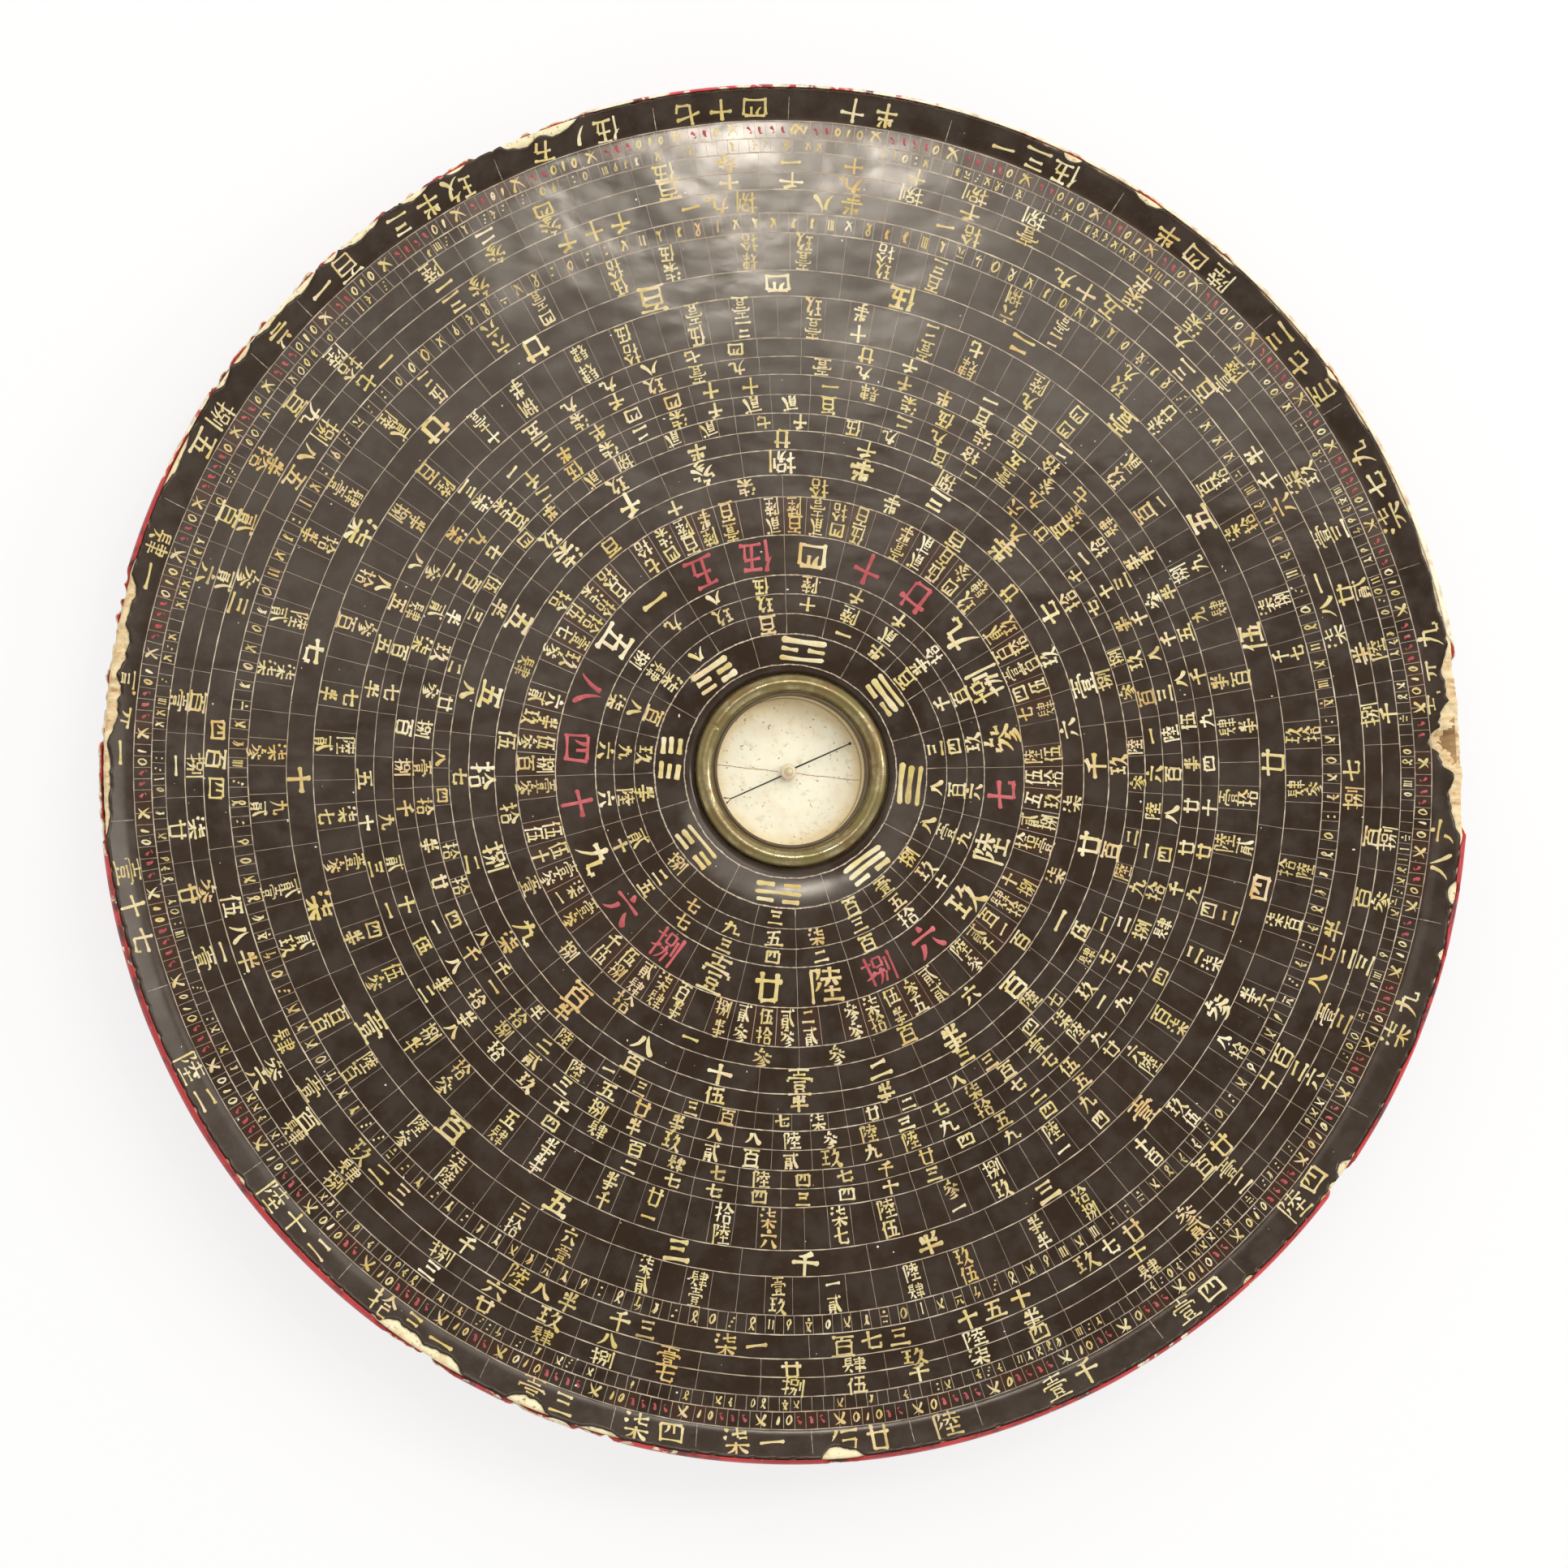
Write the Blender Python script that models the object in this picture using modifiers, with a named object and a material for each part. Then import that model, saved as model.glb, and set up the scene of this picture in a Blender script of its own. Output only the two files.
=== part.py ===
"""A feng shui compass: a lacquered wooden dial, dished a little, with a glazed needle well.

Metres, +Z up. The compass lies on its back at z = 0 with its centre on the Z axis, and +Y is the
top of the dial. Angles on the dial are in degrees, clockwise from +Y as seen from above.
"""

import math

import bmesh
import bpy

# Disc
DISC_RADIUS = 0.160
FLANK_TUCK = 0.022
DIAL_ABOVE_PIN = 0.0053
LIP_WIDTH = 0.00885
FIELD_RISE = 0.0008
LIP_RISE = 0.0026
COLLAR_WIDTH = 0.0115
COLLAR_DROP = 0.0012
EDGE_ROUND = 0.0022
LIP_BEND_SHARE = 0.35
FLANK_TURN = math.radians(60)

# Coats and the clearance that separate pieces keep
SEAM = 0.0003
FACE_COAT = 0.0006
GROUND_COAT = 0.0010
EDGE_COAT = 0.00085
BACK_COAT = 0.0006

# Bezel and the split ring that holds the glass
BEZEL_RADIUS = 0.0224
BEZEL_WIDTH = 0.0039
BEZEL_CROWN = 0.0016
RETAINER_WIDTH = 0.0009
RETAINER_HEIGHT = 0.0008
RETAINER_SPLIT = 0.0009
RETAINER_SPLIT_ANGLE = 144.6

# Needle well
CUP_FLANGE = 0.0022
CUP_FLOOR = 0.0016
LEDGE_WIDTH = 0.0007
LEDGE_DEPTH = 0.0005
GLASS_THICKNESS = 0.0016
GLASS_BEVEL = 0.0002
FLOOR_HEIGHT = 0.0132
FLOOR_CARD = 0.0006

# Pivot
BOSS_RADIUS = 0.0017
BOSS_HEIGHT = 0.0005
PIN_RADIUS = 0.0004
PIN_HEIGHT = 0.0030
PIN_POINT = 0.0014
PIN_TIP_RADIUS = 0.00008

# Needle and its cap
NEEDLE_CLEARANCE = 0.0011
NEEDLE_WIDTH = 0.00045
NEEDLE_THICKNESS = 0.0004
NEEDLE_ANGLE = 65.7
EYE_RADIUS = 0.0019
EYE_BORE = 0.00135
TIP_BEAD = 0.0004
FORK_LENGTH = 0.0014
FORK_SPREAD = 0.0009
CAP_RADIUS = 0.00100
CAP_FLANGE_RADIUS = 0.0017
CAP_FLANGE = 0.0003
CAP_CROWN = 0.0007
CAP_SKIRT = 0.0017
CAP_MOUTH = 0.0008

# Chips in the lacquer at the rim: start, end, depth as a share of the lip's width, bare wood
CHIP_SHARES = (
    (24.0, 25.6, 0.17, False),
    (31.0, 33.4, 0.14, False),
    (79.5, 93.6, 0.80, True),
    (99.4, 101.2, 0.20, False),
    (125.0, 126.6, 0.17, False),
    (174.6, 178.0, 0.34, False),
    (202.6, 205.4, 0.36, False),
    (209.4, 217.0, 0.33, False),
    (265.6, 270.0, 0.18, False),
    (272.2, 285.8, 0.40, True),
    (294.0, 298.4, 0.15, False),
    (308.6, 315.8, 0.17, False),
    (325.2, 327.6, 0.16, False),
    (335.2, 341.4, 0.27, False),
)
CHIP_SIDE = 0.0045
CHIP_STEP = 1.1
CHIP_WAVE_SHARE = 0.28
CHIP_WAVE_TURN = 2.4
CHIP_ROUND_SHARE = 0.6
WOOD_CHIP_SHARE = 0.72

# Facets round the turned pieces
DISC_STEPS = 72
WELL_STEPS = 48
SMALL_STEPS = 24
OVERRUN = 0.002

DIAL_HEIGHT = FLOOR_HEIGHT + PIN_HEIGHT + DIAL_ABOVE_PIN
BASE_RADIUS = DISC_RADIUS - FLANK_TUCK
FACE_RADIUS = DISC_RADIUS - EDGE_COAT - SEAM
FIELD_RADIUS = FACE_RADIUS - LIP_WIDTH
DIAL_BORE = BEZEL_RADIUS + SEAM
BEZEL_BORE = BEZEL_RADIUS - BEZEL_WIDTH
CUP_RADIUS = BEZEL_BORE - SEAM + CUP_FLANGE
CHAMBER_RADIUS = BEZEL_BORE - SEAM - LEDGE_WIDTH
NEEDLE_REACH = CHAMBER_RADIUS - NEEDLE_CLEARANCE
GROUND_LEVEL = FACE_COAT + SEAM
WOOD_LEVEL = GROUND_LEVEL + GROUND_COAT + SEAM
GROUND_INSET = EDGE_COAT + SEAM
WOOD_INSET = GROUND_INSET + GROUND_COAT + SEAM


def face_height(radius):
    """Height of the lacquered face: a collar sinks to the bezel, the field rises, the lip turns up."""
    height = DIAL_HEIGHT
    if radius < DIAL_BORE + COLLAR_WIDTH:
        height -= COLLAR_DROP * (1 - (radius - DIAL_BORE) / COLLAR_WIDTH) ** 2
    height += FIELD_RISE * (min(radius, FIELD_RADIUS) / FIELD_RADIUS) ** 2
    if radius > FIELD_RADIUS:
        across = (radius - FIELD_RADIUS) / LIP_WIDTH
        bend = math.hypot(across, LIP_BEND_SHARE) - LIP_BEND_SHARE
        height += LIP_RISE * bend / (math.hypot(1, LIP_BEND_SHARE) - LIP_BEND_SHARE)
    return height


RIM_HEIGHT = face_height(FACE_RADIUS)
WIDEST_HEIGHT = RIM_HEIGHT - EDGE_ROUND
SEAT_HEIGHT = face_height(DIAL_BORE) - WOOD_LEVEL
LEDGE_HEIGHT = SEAT_HEIGHT - LEDGE_DEPTH
GLASS_TOP = LEDGE_HEIGHT + SEAM + GLASS_THICKNESS
GLASS_RADIUS = BEZEL_BORE - 2 * SEAM
CUP_INSIDE = FLOOR_HEIGHT - FLOOR_CARD - SEAM
PIN_TIP = FLOOR_HEIGHT + PIN_HEIGHT
CAP_CONE = PIN_TIP + SEAM


def face_path(lowered):
    """Points along the face from the bezel to the rim, lowered by some depth."""
    radii = [DIAL_BORE]
    radii += [DIAL_BORE + COLLAR_WIDTH * share for share in (0.35, 1.0)]
    radii += [FIELD_RADIUS + LIP_WIDTH * share for share in (-0.3, 0.1, 0.45, 1.0)]
    return [(radius, face_height(radius) - lowered) for radius in radii]


def flank_path(inset, first=0, count=6):
    """Points down the side from its widest ring to the base, moved in square to the surface."""
    points = []
    reach = (DISC_RADIUS - BASE_RADIUS) / (1 - math.cos(FLANK_TURN))
    fall = (WIDEST_HEIGHT - SEAM) / math.sin(FLANK_TURN)
    for index in range(first, count + 1):
        turn = FLANK_TURN * index / count
        radius = DISC_RADIUS - reach * (1 - math.cos(turn))
        height = WIDEST_HEIGHT - fall * math.sin(turn)
        inward = reach * math.sin(turn)
        down = fall * math.cos(turn)
        length = math.hypot(inward, down)
        points.append((radius - inset * down / length, height + inset * inward / length))
    return points


def arc_path(centre, across, up, start, end, count):
    """Points along an elliptical arc in the profile plane, angles in degrees from +radius."""
    points = []
    for index in range(count + 1):
        angle = math.radians(start + (end - start) * index / count)
        points.append((centre[0] + across * math.cos(angle), centre[1] + up * math.sin(angle)))
    return points


def around(radius, angle):
    """The point on the dial at a radius and a clockwise angle from +Y, in degrees."""
    turn = math.radians(angle)
    return radius * math.sin(turn), radius * math.cos(turn)


def clear_scene():
    """Removes the objects that a new file starts with."""
    for thing in list(bpy.data.objects):
        bpy.data.objects.remove(thing, do_unlink=True)


def collection(name):
    """A new collection in the scene."""
    made = bpy.data.collections.new(name)
    bpy.context.scene.collection.children.link(made)
    return made


def finish(name, colour, roughness, metallic=0.0, alpha=1.0):
    """A Principled material."""
    material = bpy.data.materials.new(name)
    material.use_nodes = True
    shader = material.node_tree.nodes["Principled BSDF"]
    shader.inputs["Base Color"].default_value = (*colour, 1.0)
    shader.inputs["Roughness"].default_value = roughness
    shader.inputs["Metallic"].default_value = metallic
    shader.inputs["Alpha"].default_value = alpha
    return material


def add_object(name, data, home, material=None):
    """Links an object with its data and its own material."""
    made = bpy.data.objects.new(name, data)
    home.objects.link(made)
    if material:
        data.materials.append(material)
    return made


def turned(name, profile, steps, home, material, closed=True):
    """A turned piece: a profile in the XZ plane and a Screw modifier about the Z axis."""
    mesh = bpy.data.meshes.new(name)
    count = len(profile)
    edges = [(index, index + 1) for index in range(count - 1)]
    if closed:
        edges.append((count - 1, 0))
    mesh.from_pydata([(radius, 0, height) for radius, height in profile], edges, [])
    made = add_object(name, mesh, home, material)
    screw = made.modifiers.new("turn", "SCREW")
    screw.steps = steps
    screw.render_steps = steps
    screw.use_merge_vertices = True
    screw.merge_threshold = 1e-6
    screw.use_smooth_shade = False
    return made


def cutter(name, data, home):
    """A helper that is hidden from renders."""
    made = add_object(name, data, home)
    made.hide_render = True
    made.display_type = "WIRE"
    return made


def cut(piece, tool):
    """Takes the tool's volume out of the piece."""
    change = piece.modifiers.new(tool.name, "BOOLEAN")
    change.operation = "DIFFERENCE"
    change.solver = "EXACT"
    change.object = tool


def prism(mesh_maker, outline, low, high):
    """Adds an upright prism over a flat outline, given anticlockwise as seen from above."""
    vertices = [mesh_maker.verts.new((x, y, low)) for x, y in outline]
    base = mesh_maker.faces.new(vertices)
    base.normal_update()
    grown = bmesh.ops.extrude_face_region(mesh_maker, geom=[base])
    raised = [item for item in grown["geom"] if isinstance(item, bmesh.types.BMVert)]
    bmesh.ops.translate(mesh_maker, verts=raised, vec=(0, 0, high - low))


def chip_outline(start, end, depth, margin):
    """A broken edge: a rounded bite with uneven teeth, closed outside the rim."""
    count = max(4, round((end - start) / CHIP_STEP))
    inner = []
    for index in range(count + 1):
        along = index / count
        bite = math.sin(math.pi * along) ** CHIP_ROUND_SHARE
        wave = 1 - CHIP_WAVE_SHARE * abs(math.sin(CHIP_WAVE_TURN * (index + start)))
        inner.append(around(FACE_RADIUS - depth * bite * wave, start + (end - start) * along))
    outside = DISC_RADIUS + margin
    outer = [around(outside, end - (end - start) * index / count) for index in range(count + 1)]
    return inner[::-1] + outer[::-1]


def chip_cutter(name, home, wood_only):
    """One helper with a prism for each chip. The chips that bare the wood cut the ground too."""
    maker = bmesh.new()
    for start, end, share, bares_wood in CHIP_SHARES:
        if wood_only and not bares_wood:
            continue
        depth = share * LIP_WIDTH
        if wood_only:
            trim = (end - start) * (1 - WOOD_CHIP_SHARE) / 2
            start += trim
            end -= trim
            depth *= WOOD_CHIP_SHARE
        outline = chip_outline(start, end, depth, OVERRUN)
        prism(maker, outline, WIDEST_HEIGHT - CHIP_SIDE, RIM_HEIGHT + OVERRUN)
    bmesh.ops.recalc_face_normals(maker, faces=maker.faces)
    mesh = bpy.data.meshes.new(name)
    maker.to_mesh(mesh)
    maker.free()
    return cutter(name, mesh, home)


def build_disc(home, helpers):
    """The turned wood and the coats that lie on it."""
    chips = chip_cutter("chip_cutter", helpers, False)
    deep_chips = chip_cutter("wood_chip_cutter", helpers, True)

    flank = flank_path(WOOD_INSET, first=1)
    foot = (flank[-1][0] - 2 * SEAM, BACK_COAT + SEAM)
    bore = CUP_RADIUS + SEAM
    bore_floor = CUP_INSIDE - CUP_FLOOR - SEAM
    top = face_path(WOOD_LEVEL)[:-1]
    shoulder = (DISC_RADIUS - WOOD_INSET, face_height(DISC_RADIUS - WOOD_INSET) - WOOD_LEVEL)
    profile = [(0, bore_floor), (bore, bore_floor), (bore, SEAT_HEIGHT)] + top
    profile += [shoulder] + flank + [foot, (0, foot[1])]
    wood = finish("turned_wood", (0.42, 0.26, 0.13), 0.8)
    turned("wood_disc", profile, DISC_STEPS, home, wood, closed=False)

    under = face_path(GROUND_LEVEL + GROUND_COAT)[:-1]
    inner_radius = DISC_RADIUS - GROUND_INSET - GROUND_COAT
    under.append((inner_radius, face_height(inner_radius) - GROUND_LEVEL - GROUND_COAT))
    profile = face_path(GROUND_LEVEL) + flank_path(GROUND_INSET)
    profile += flank_path(GROUND_INSET + GROUND_COAT, first=1)[::-1] + under[::-1]
    ash = finish("ash_ground", (0.74, 0.63, 0.36), 0.9)
    ground = turned("ground_coat", profile, DISC_STEPS, home, ash)
    cut(ground, deep_chips)

    profile = face_path(0) + face_path(FACE_COAT)[::-1]
    black = finish("black_lacquer", (0.030, 0.022, 0.018), 0.42)
    face = turned("face_lacquer", profile, DISC_STEPS, home, black)
    cut(face, chips)

    inner_edge = DISC_RADIUS - EDGE_COAT
    crown = arc_path((inner_edge, WIDEST_HEIGHT), EDGE_COAT, EDGE_ROUND, 90, 0, 4)[:-1]
    profile = crown + flank_path(0) + flank_path(EDGE_COAT)[::-1]
    red = finish("red_lacquer", (0.42, 0.030, 0.035), 0.38)
    edge = turned("edge_lacquer", profile, DISC_STEPS, home, red)
    cut(edge, chips)

    rim = BASE_RADIUS - 2 * SEAM
    profile = [(0, BACK_COAT), (rim, BACK_COAT), (rim, 0), (0, 0)]
    dark = finish("back_lacquer", (0.035, 0.025, 0.020), 0.5)
    turned("back_lacquer", profile, DISC_STEPS, home, dark, closed=False)


def build_well(home, helpers):
    """The cup, its floor, the glass, the split ring on the glass and the bezel round it."""
    brass = finish("cup_brass", (0.38, 0.30, 0.12), 0.45, 1.0)
    low = CUP_INSIDE - CUP_FLOOR
    profile = [(0, CUP_INSIDE), (CHAMBER_RADIUS, CUP_INSIDE), (CHAMBER_RADIUS, LEDGE_HEIGHT)]
    profile += [(BEZEL_BORE - SEAM, LEDGE_HEIGHT), (BEZEL_BORE - SEAM, SEAT_HEIGHT)]
    profile += [(CUP_RADIUS, SEAT_HEIGHT), (CUP_RADIUS, low), (0, low)]
    turned("well_cup", profile, WELL_STEPS, home, brass, closed=False)

    card = finish("floor_card", (0.83, 0.76, 0.55), 0.85)
    hole = PIN_RADIUS + SEAM
    rim = CHAMBER_RADIUS - SEAM
    bottom = FLOOR_HEIGHT - FLOOR_CARD
    profile = [(hole, FLOOR_HEIGHT), (rim, FLOOR_HEIGHT), (rim, bottom), (hole, bottom)]
    turned("well_floor", profile, WELL_STEPS, home, card)

    clear = finish("clear_glass", (0.95, 0.96, 0.95), 0.03, 0.0, 0.2)
    bottom = GLASS_TOP - GLASS_THICKNESS
    profile = [(0, GLASS_TOP), (GLASS_RADIUS - GLASS_BEVEL, GLASS_TOP)]
    profile += [(GLASS_RADIUS, GLASS_TOP - GLASS_BEVEL), (GLASS_RADIUS, bottom + GLASS_BEVEL)]
    profile += [(GLASS_RADIUS - GLASS_BEVEL, bottom), (0, bottom)]
    turned("glass_cover", profile, WELL_STEPS, home, clear, closed=False)

    dull = finish("ring_brass", (0.20, 0.15, 0.07), 0.5, 1.0)
    outer = BEZEL_BORE - SEAM
    low = GLASS_TOP + SEAM
    middle = (outer - RETAINER_WIDTH / 2, low + RETAINER_HEIGHT / 2)
    profile = arc_path(middle, RETAINER_WIDTH / 2, RETAINER_HEIGHT / 2, 180, -135, 7)
    ring = turned("retaining_ring", profile, WELL_STEPS, home, dull)
    bpy.ops.mesh.primitive_cube_add(size=1)
    gap = bpy.context.object
    gap.name = "split_cutter"
    for owner in list(gap.users_collection):
        owner.objects.unlink(gap)
    helpers.objects.link(gap)
    gap.hide_render = True
    gap.display_type = "WIRE"
    gap.scale = (RETAINER_SPLIT, 4 * RETAINER_WIDTH, 4 * RETAINER_HEIGHT)
    gap.location = (*around(middle[0], RETAINER_SPLIT_ANGLE), middle[1])
    gap.rotation_euler = (0, 0, -math.radians(RETAINER_SPLIT_ANGLE))
    cut(ring, gap)

    olive = finish("bezel_brass", (0.34, 0.28, 0.11), 0.36, 1.0)
    foot = SEAT_HEIGHT + SEAM
    spring = face_height(DIAL_BORE)
    middle = (BEZEL_RADIUS - BEZEL_WIDTH / 2, spring)
    profile = arc_path(middle, BEZEL_WIDTH / 2, BEZEL_CROWN, 180, 0, 10)
    profile += [(BEZEL_RADIUS, foot), (BEZEL_BORE, foot)]
    turned("bezel_ring", profile, WELL_STEPS, home, olive)


def build_pivot(home):
    """The boss on the floor and the pin that carries the needle."""
    brass = finish("boss_brass", (0.42, 0.34, 0.16), 0.4, 1.0)
    hole = PIN_RADIUS + SEAM
    low = FLOOR_HEIGHT + SEAM
    high = low + BOSS_HEIGHT
    profile = [(hole, high), (BOSS_RADIUS / 2, high), (BOSS_RADIUS, low + BOSS_HEIGHT / 2)]
    profile += [(BOSS_RADIUS, low), (hole, low)]
    turned("pivot_boss", profile, SMALL_STEPS, home, brass)

    steel = finish("pivot_steel", (0.32, 0.32, 0.33), 0.3, 1.0)
    foot = CUP_INSIDE + SEAM
    profile = [(0, PIN_TIP), (PIN_TIP_RADIUS, PIN_TIP - PIN_TIP_RADIUS)]
    profile += [(PIN_RADIUS, PIN_TIP - PIN_POINT), (PIN_RADIUS, foot), (0, foot)]
    turned("pivot_pin", profile, SMALL_STEPS, home, steel, closed=False)


def needle_outline():
    """The needle from above, pointing along +X: a bead, a bar, the eye, a bar and a forked tail."""
    half = NEEDLE_WIDTH / 2
    bead = NEEDLE_REACH - TIP_BEAD
    bead_turn = math.degrees(math.asin(half / TIP_BEAD))
    eye_turn = math.degrees(math.asin(half / EYE_RADIUS))
    tail = -NEEDLE_REACH + FORK_LENGTH
    upper = arc_path((bead, 0), TIP_BEAD, TIP_BEAD, 0, 180 - bead_turn, 5)
    upper += arc_path((0, 0), EYE_RADIUS, EYE_RADIUS, eye_turn, 180 - eye_turn, 10)
    upper += [(tail, half), (-NEEDLE_REACH, FORK_SPREAD), (-NEEDLE_REACH, FORK_SPREAD - half)]
    crotch = [(tail - half, 0)]
    lower = [(x, -y) for x, y in upper[1:]]
    return upper + crotch + lower[::-1]


def flat_curve(name, outlines, thickness, home, material):
    """A flat outline with holes, made solid by an extrusion."""
    data = bpy.data.curves.new(name, "CURVE")
    data.dimensions = "2D"
    data.fill_mode = "BOTH"
    data.extrude = thickness / 2
    for outline in outlines:
        spline = data.splines.new("POLY")
        spline.points.add(len(outline) - 1)
        for point, (x, y) in zip(spline.points, outline):
            point.co = (x, y, 0, 1)
        spline.use_cyclic_u = True
    return add_object(name, data, home, material)


def build_needle(home):
    """The needle and the cap riveted in its eye, both on the pivot's axis."""
    turn = math.radians(90 - NEEDLE_ANGLE)
    seat = PIN_TIP + CAP_CROWN - CAP_SKIRT
    flange_low = seat + CAP_FLANGE

    iron = finish("needle_iron", (0.06, 0.055, 0.05), 0.45, 1.0)
    eye = arc_path((0, 0), EYE_BORE, EYE_BORE, 0, 345, 23)
    needle = flat_curve("needle", [needle_outline(), eye], NEEDLE_THICKNESS, home, iron)
    needle.location = (0, 0, flange_low - SEAM - NEEDLE_THICKNESS / 2)
    needle.rotation_euler = (0, 0, turn)

    brass = finish("cap_brass", (0.55, 0.40, 0.18), 0.35, 1.0)
    shoulder = flange_low + CAP_FLANGE
    skirt = flange_low - SEAM - NEEDLE_THICKNESS - SEAM
    top = CAP_CONE + CAP_CROWN
    profile = arc_path((0, shoulder), CAP_RADIUS, top - shoulder, 90, 0, 5)
    profile += [(CAP_FLANGE_RADIUS, shoulder), (CAP_FLANGE_RADIUS, flange_low)]
    profile += [(CAP_RADIUS, flange_low), (CAP_RADIUS, skirt), (CAP_MOUTH, skirt), (0, CAP_CONE)]
    profile[0] = (0, top)
    turned("needle_cap", profile, SMALL_STEPS, home, brass, closed=False)


def main():
    """Builds the whole compass."""
    clear_scene()
    home = collection("feng_shui_compass")
    helpers = collection("cutters")
    build_disc(home, helpers)
    build_well(home, helpers)
    build_pivot(home)
    build_needle(home)


main()
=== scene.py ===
"""Dresses the feng shui compass: lacquer, brushed marks, worn rim, needle well, needle and studio.

Metres, +Z up. The compass lies on its back at z = 0 with its centre on the Z axis, and +Y is the
top of the dial. Angles on the dial are in degrees, clockwise from +Y as seen from above.
"""

import logging
import math
from dataclasses import dataclass, field
from enum import Enum, IntEnum

import bpy
import numpy as np
from mathutils import Matrix


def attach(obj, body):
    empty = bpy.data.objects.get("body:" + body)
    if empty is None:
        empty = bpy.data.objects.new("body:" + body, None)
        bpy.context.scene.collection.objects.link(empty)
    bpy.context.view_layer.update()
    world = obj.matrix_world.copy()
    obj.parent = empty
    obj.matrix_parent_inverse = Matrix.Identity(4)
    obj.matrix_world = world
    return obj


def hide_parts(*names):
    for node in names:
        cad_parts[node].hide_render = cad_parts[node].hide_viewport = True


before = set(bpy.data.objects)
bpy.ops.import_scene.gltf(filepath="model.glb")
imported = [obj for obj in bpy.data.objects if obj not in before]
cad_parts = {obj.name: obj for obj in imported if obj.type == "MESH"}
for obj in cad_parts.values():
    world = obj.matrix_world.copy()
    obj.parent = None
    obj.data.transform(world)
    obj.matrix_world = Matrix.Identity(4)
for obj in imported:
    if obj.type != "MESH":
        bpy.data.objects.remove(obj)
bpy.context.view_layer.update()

Array = np.ndarray
Colour = tuple[float, float, float]
Point = tuple[float, float, float]
Socket = bpy.types.NodeSocket
log = logging.getLogger("compass")

# A profile ends on the axis if it comes as close as this
ON_AXIS = 1e-9

# Unlike sines add up to little more than this share of their strengths
RIPPLE_REACH = 0.55

MILLIMETRE = 0.001

# The hand that ruled the rings put their middle this far from the axis
RING_CENTRE = (-0.00032, -0.00024)


# Meshes from arrays

@dataclass
class Shape:
    """Points, faces and values per point of a mesh that is not yet in the scene."""

    points: Array
    faces: list[Array]
    values: dict[str, Array] = field(default_factory=dict)

    def outward(self, upward: bool) -> "Shape":
        """Turns the faces so that they look out of a closed shape, or up from an open film.

        Args:
            upward: True for an open film, whose faces look up.

        Returns:
            The shape itself.
        """
        total = 0.0
        for faces in self.faces:
            first = self.points[faces[:, 0]]
            for step in range(1, faces.shape[1] - 1):
                second = self.points[faces[:, step]]
                third = self.points[faces[:, step + 1]]
                if upward:
                    total += np.cross(second - first, third - first)[:, 2].sum()
                else:
                    total += np.einsum("ij,ij->", first, np.cross(second, third))
        if total < 0:
            self.faces = [faces[:, ::-1] for faces in self.faces]
        return self


def joined(shapes: list[Shape]) -> Shape:
    """Puts several shapes into one.

    Args:
        shapes: the shapes, all with the same names of values.

    Returns:
        One shape that holds them all.
    """
    starts = np.cumsum([0] + [len(shape.points) for shape in shapes])
    faces = [part + start for shape, start in zip(shapes, starts) for part in shape.faces]
    names = shapes[0].values
    values = {name: np.concatenate([shape.values[name] for shape in shapes]) for name in names}
    return Shape(np.concatenate([shape.points for shape in shapes]), faces, values)


def grid_faces(rows: int, cols: int, wrap_rows: bool = False, wrap_cols: bool = False) -> Array:
    """Four-cornered faces of a grid of points that is stored row by row.

    Args:
        rows: the number of rows.
        cols: the number of points in a row.
        wrap_rows: True if the last row joins the first.
        wrap_cols: True if the last point of a row joins its first.

    Returns:
        Point numbers, four to a face.
    """
    row = np.arange(rows if wrap_rows else rows - 1)[:, None]
    col = np.arange(cols if wrap_cols else cols - 1)[None, :]
    next_row = (row + 1) % rows
    next_col = (col + 1) % cols
    corners = (row * cols + col, row * cols + next_col, next_row * cols + next_col, next_row * cols + col)
    return np.stack(np.broadcast_arrays(*corners), -1).reshape(-1, 4)


def lathe(profile: Array, steps: int) -> Shape:
    """A turned solid: each point of the profile is carried round the Z axis.

    Args:
        profile: radius and height of each point. Ends on the axis become poles, and a profile
            with no end there is closed from its last point to its first.
        steps: the number of points round the axis.

    Returns:
        A closed shape.
    """
    poles = [index for index in (0, len(profile) - 1) if profile[index, 0] < ON_AXIS]
    rings = np.delete(profile, poles, axis=0)
    turn = np.linspace(0, 2 * np.pi, steps, endpoint=False)
    radius = rings[:, :1]
    height = np.repeat(rings[:, 1:], steps, axis=1)
    points = np.stack([radius * np.cos(turn), radius * np.sin(turn), height], -1).reshape(-1, 3)
    faces = [grid_faces(len(rings), steps, wrap_rows=not poles, wrap_cols=True)]
    around = np.arange(steps)
    for pole in poles:
        edge = around if pole == 0 else around + (len(rings) - 1) * steps
        after = np.roll(edge, -1)
        tip = np.full(steps, len(points))
        fan = (tip, after, edge) if pole == 0 else (tip, edge, after)
        faces.append(np.stack(fan, -1))
        points = np.vstack([points, [0.0, 0.0, profile[pole, 1]]])
    return Shape(points, faces).outward(False)


def loft(centres: Array, across: Array, up: Array, corners: int = 10) -> Shape:
    """A bar with an oval section: each section is its centre plus across * cos + up * sin.

    Args:
        centres: the middle of each section.
        across: the vector from each middle to its side.
        up: the vector from each middle to its top.
        corners: points round a section.

    Returns:
        A closed shape with flat ends.
    """
    turn = np.linspace(0, 2 * np.pi, corners, endpoint=False)[None, :, None]
    points = centres[:, None] + across[:, None] * np.cos(turn) + up[:, None] * np.sin(turn)
    faces = [grid_faces(len(centres), corners, wrap_cols=True)]
    start = np.arange(corners)[None, ::-1]
    faces += [start, start[:, ::-1] + (len(centres) - 1) * corners]
    return Shape(points.reshape(-1, 3), faces).outward(False)


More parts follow.
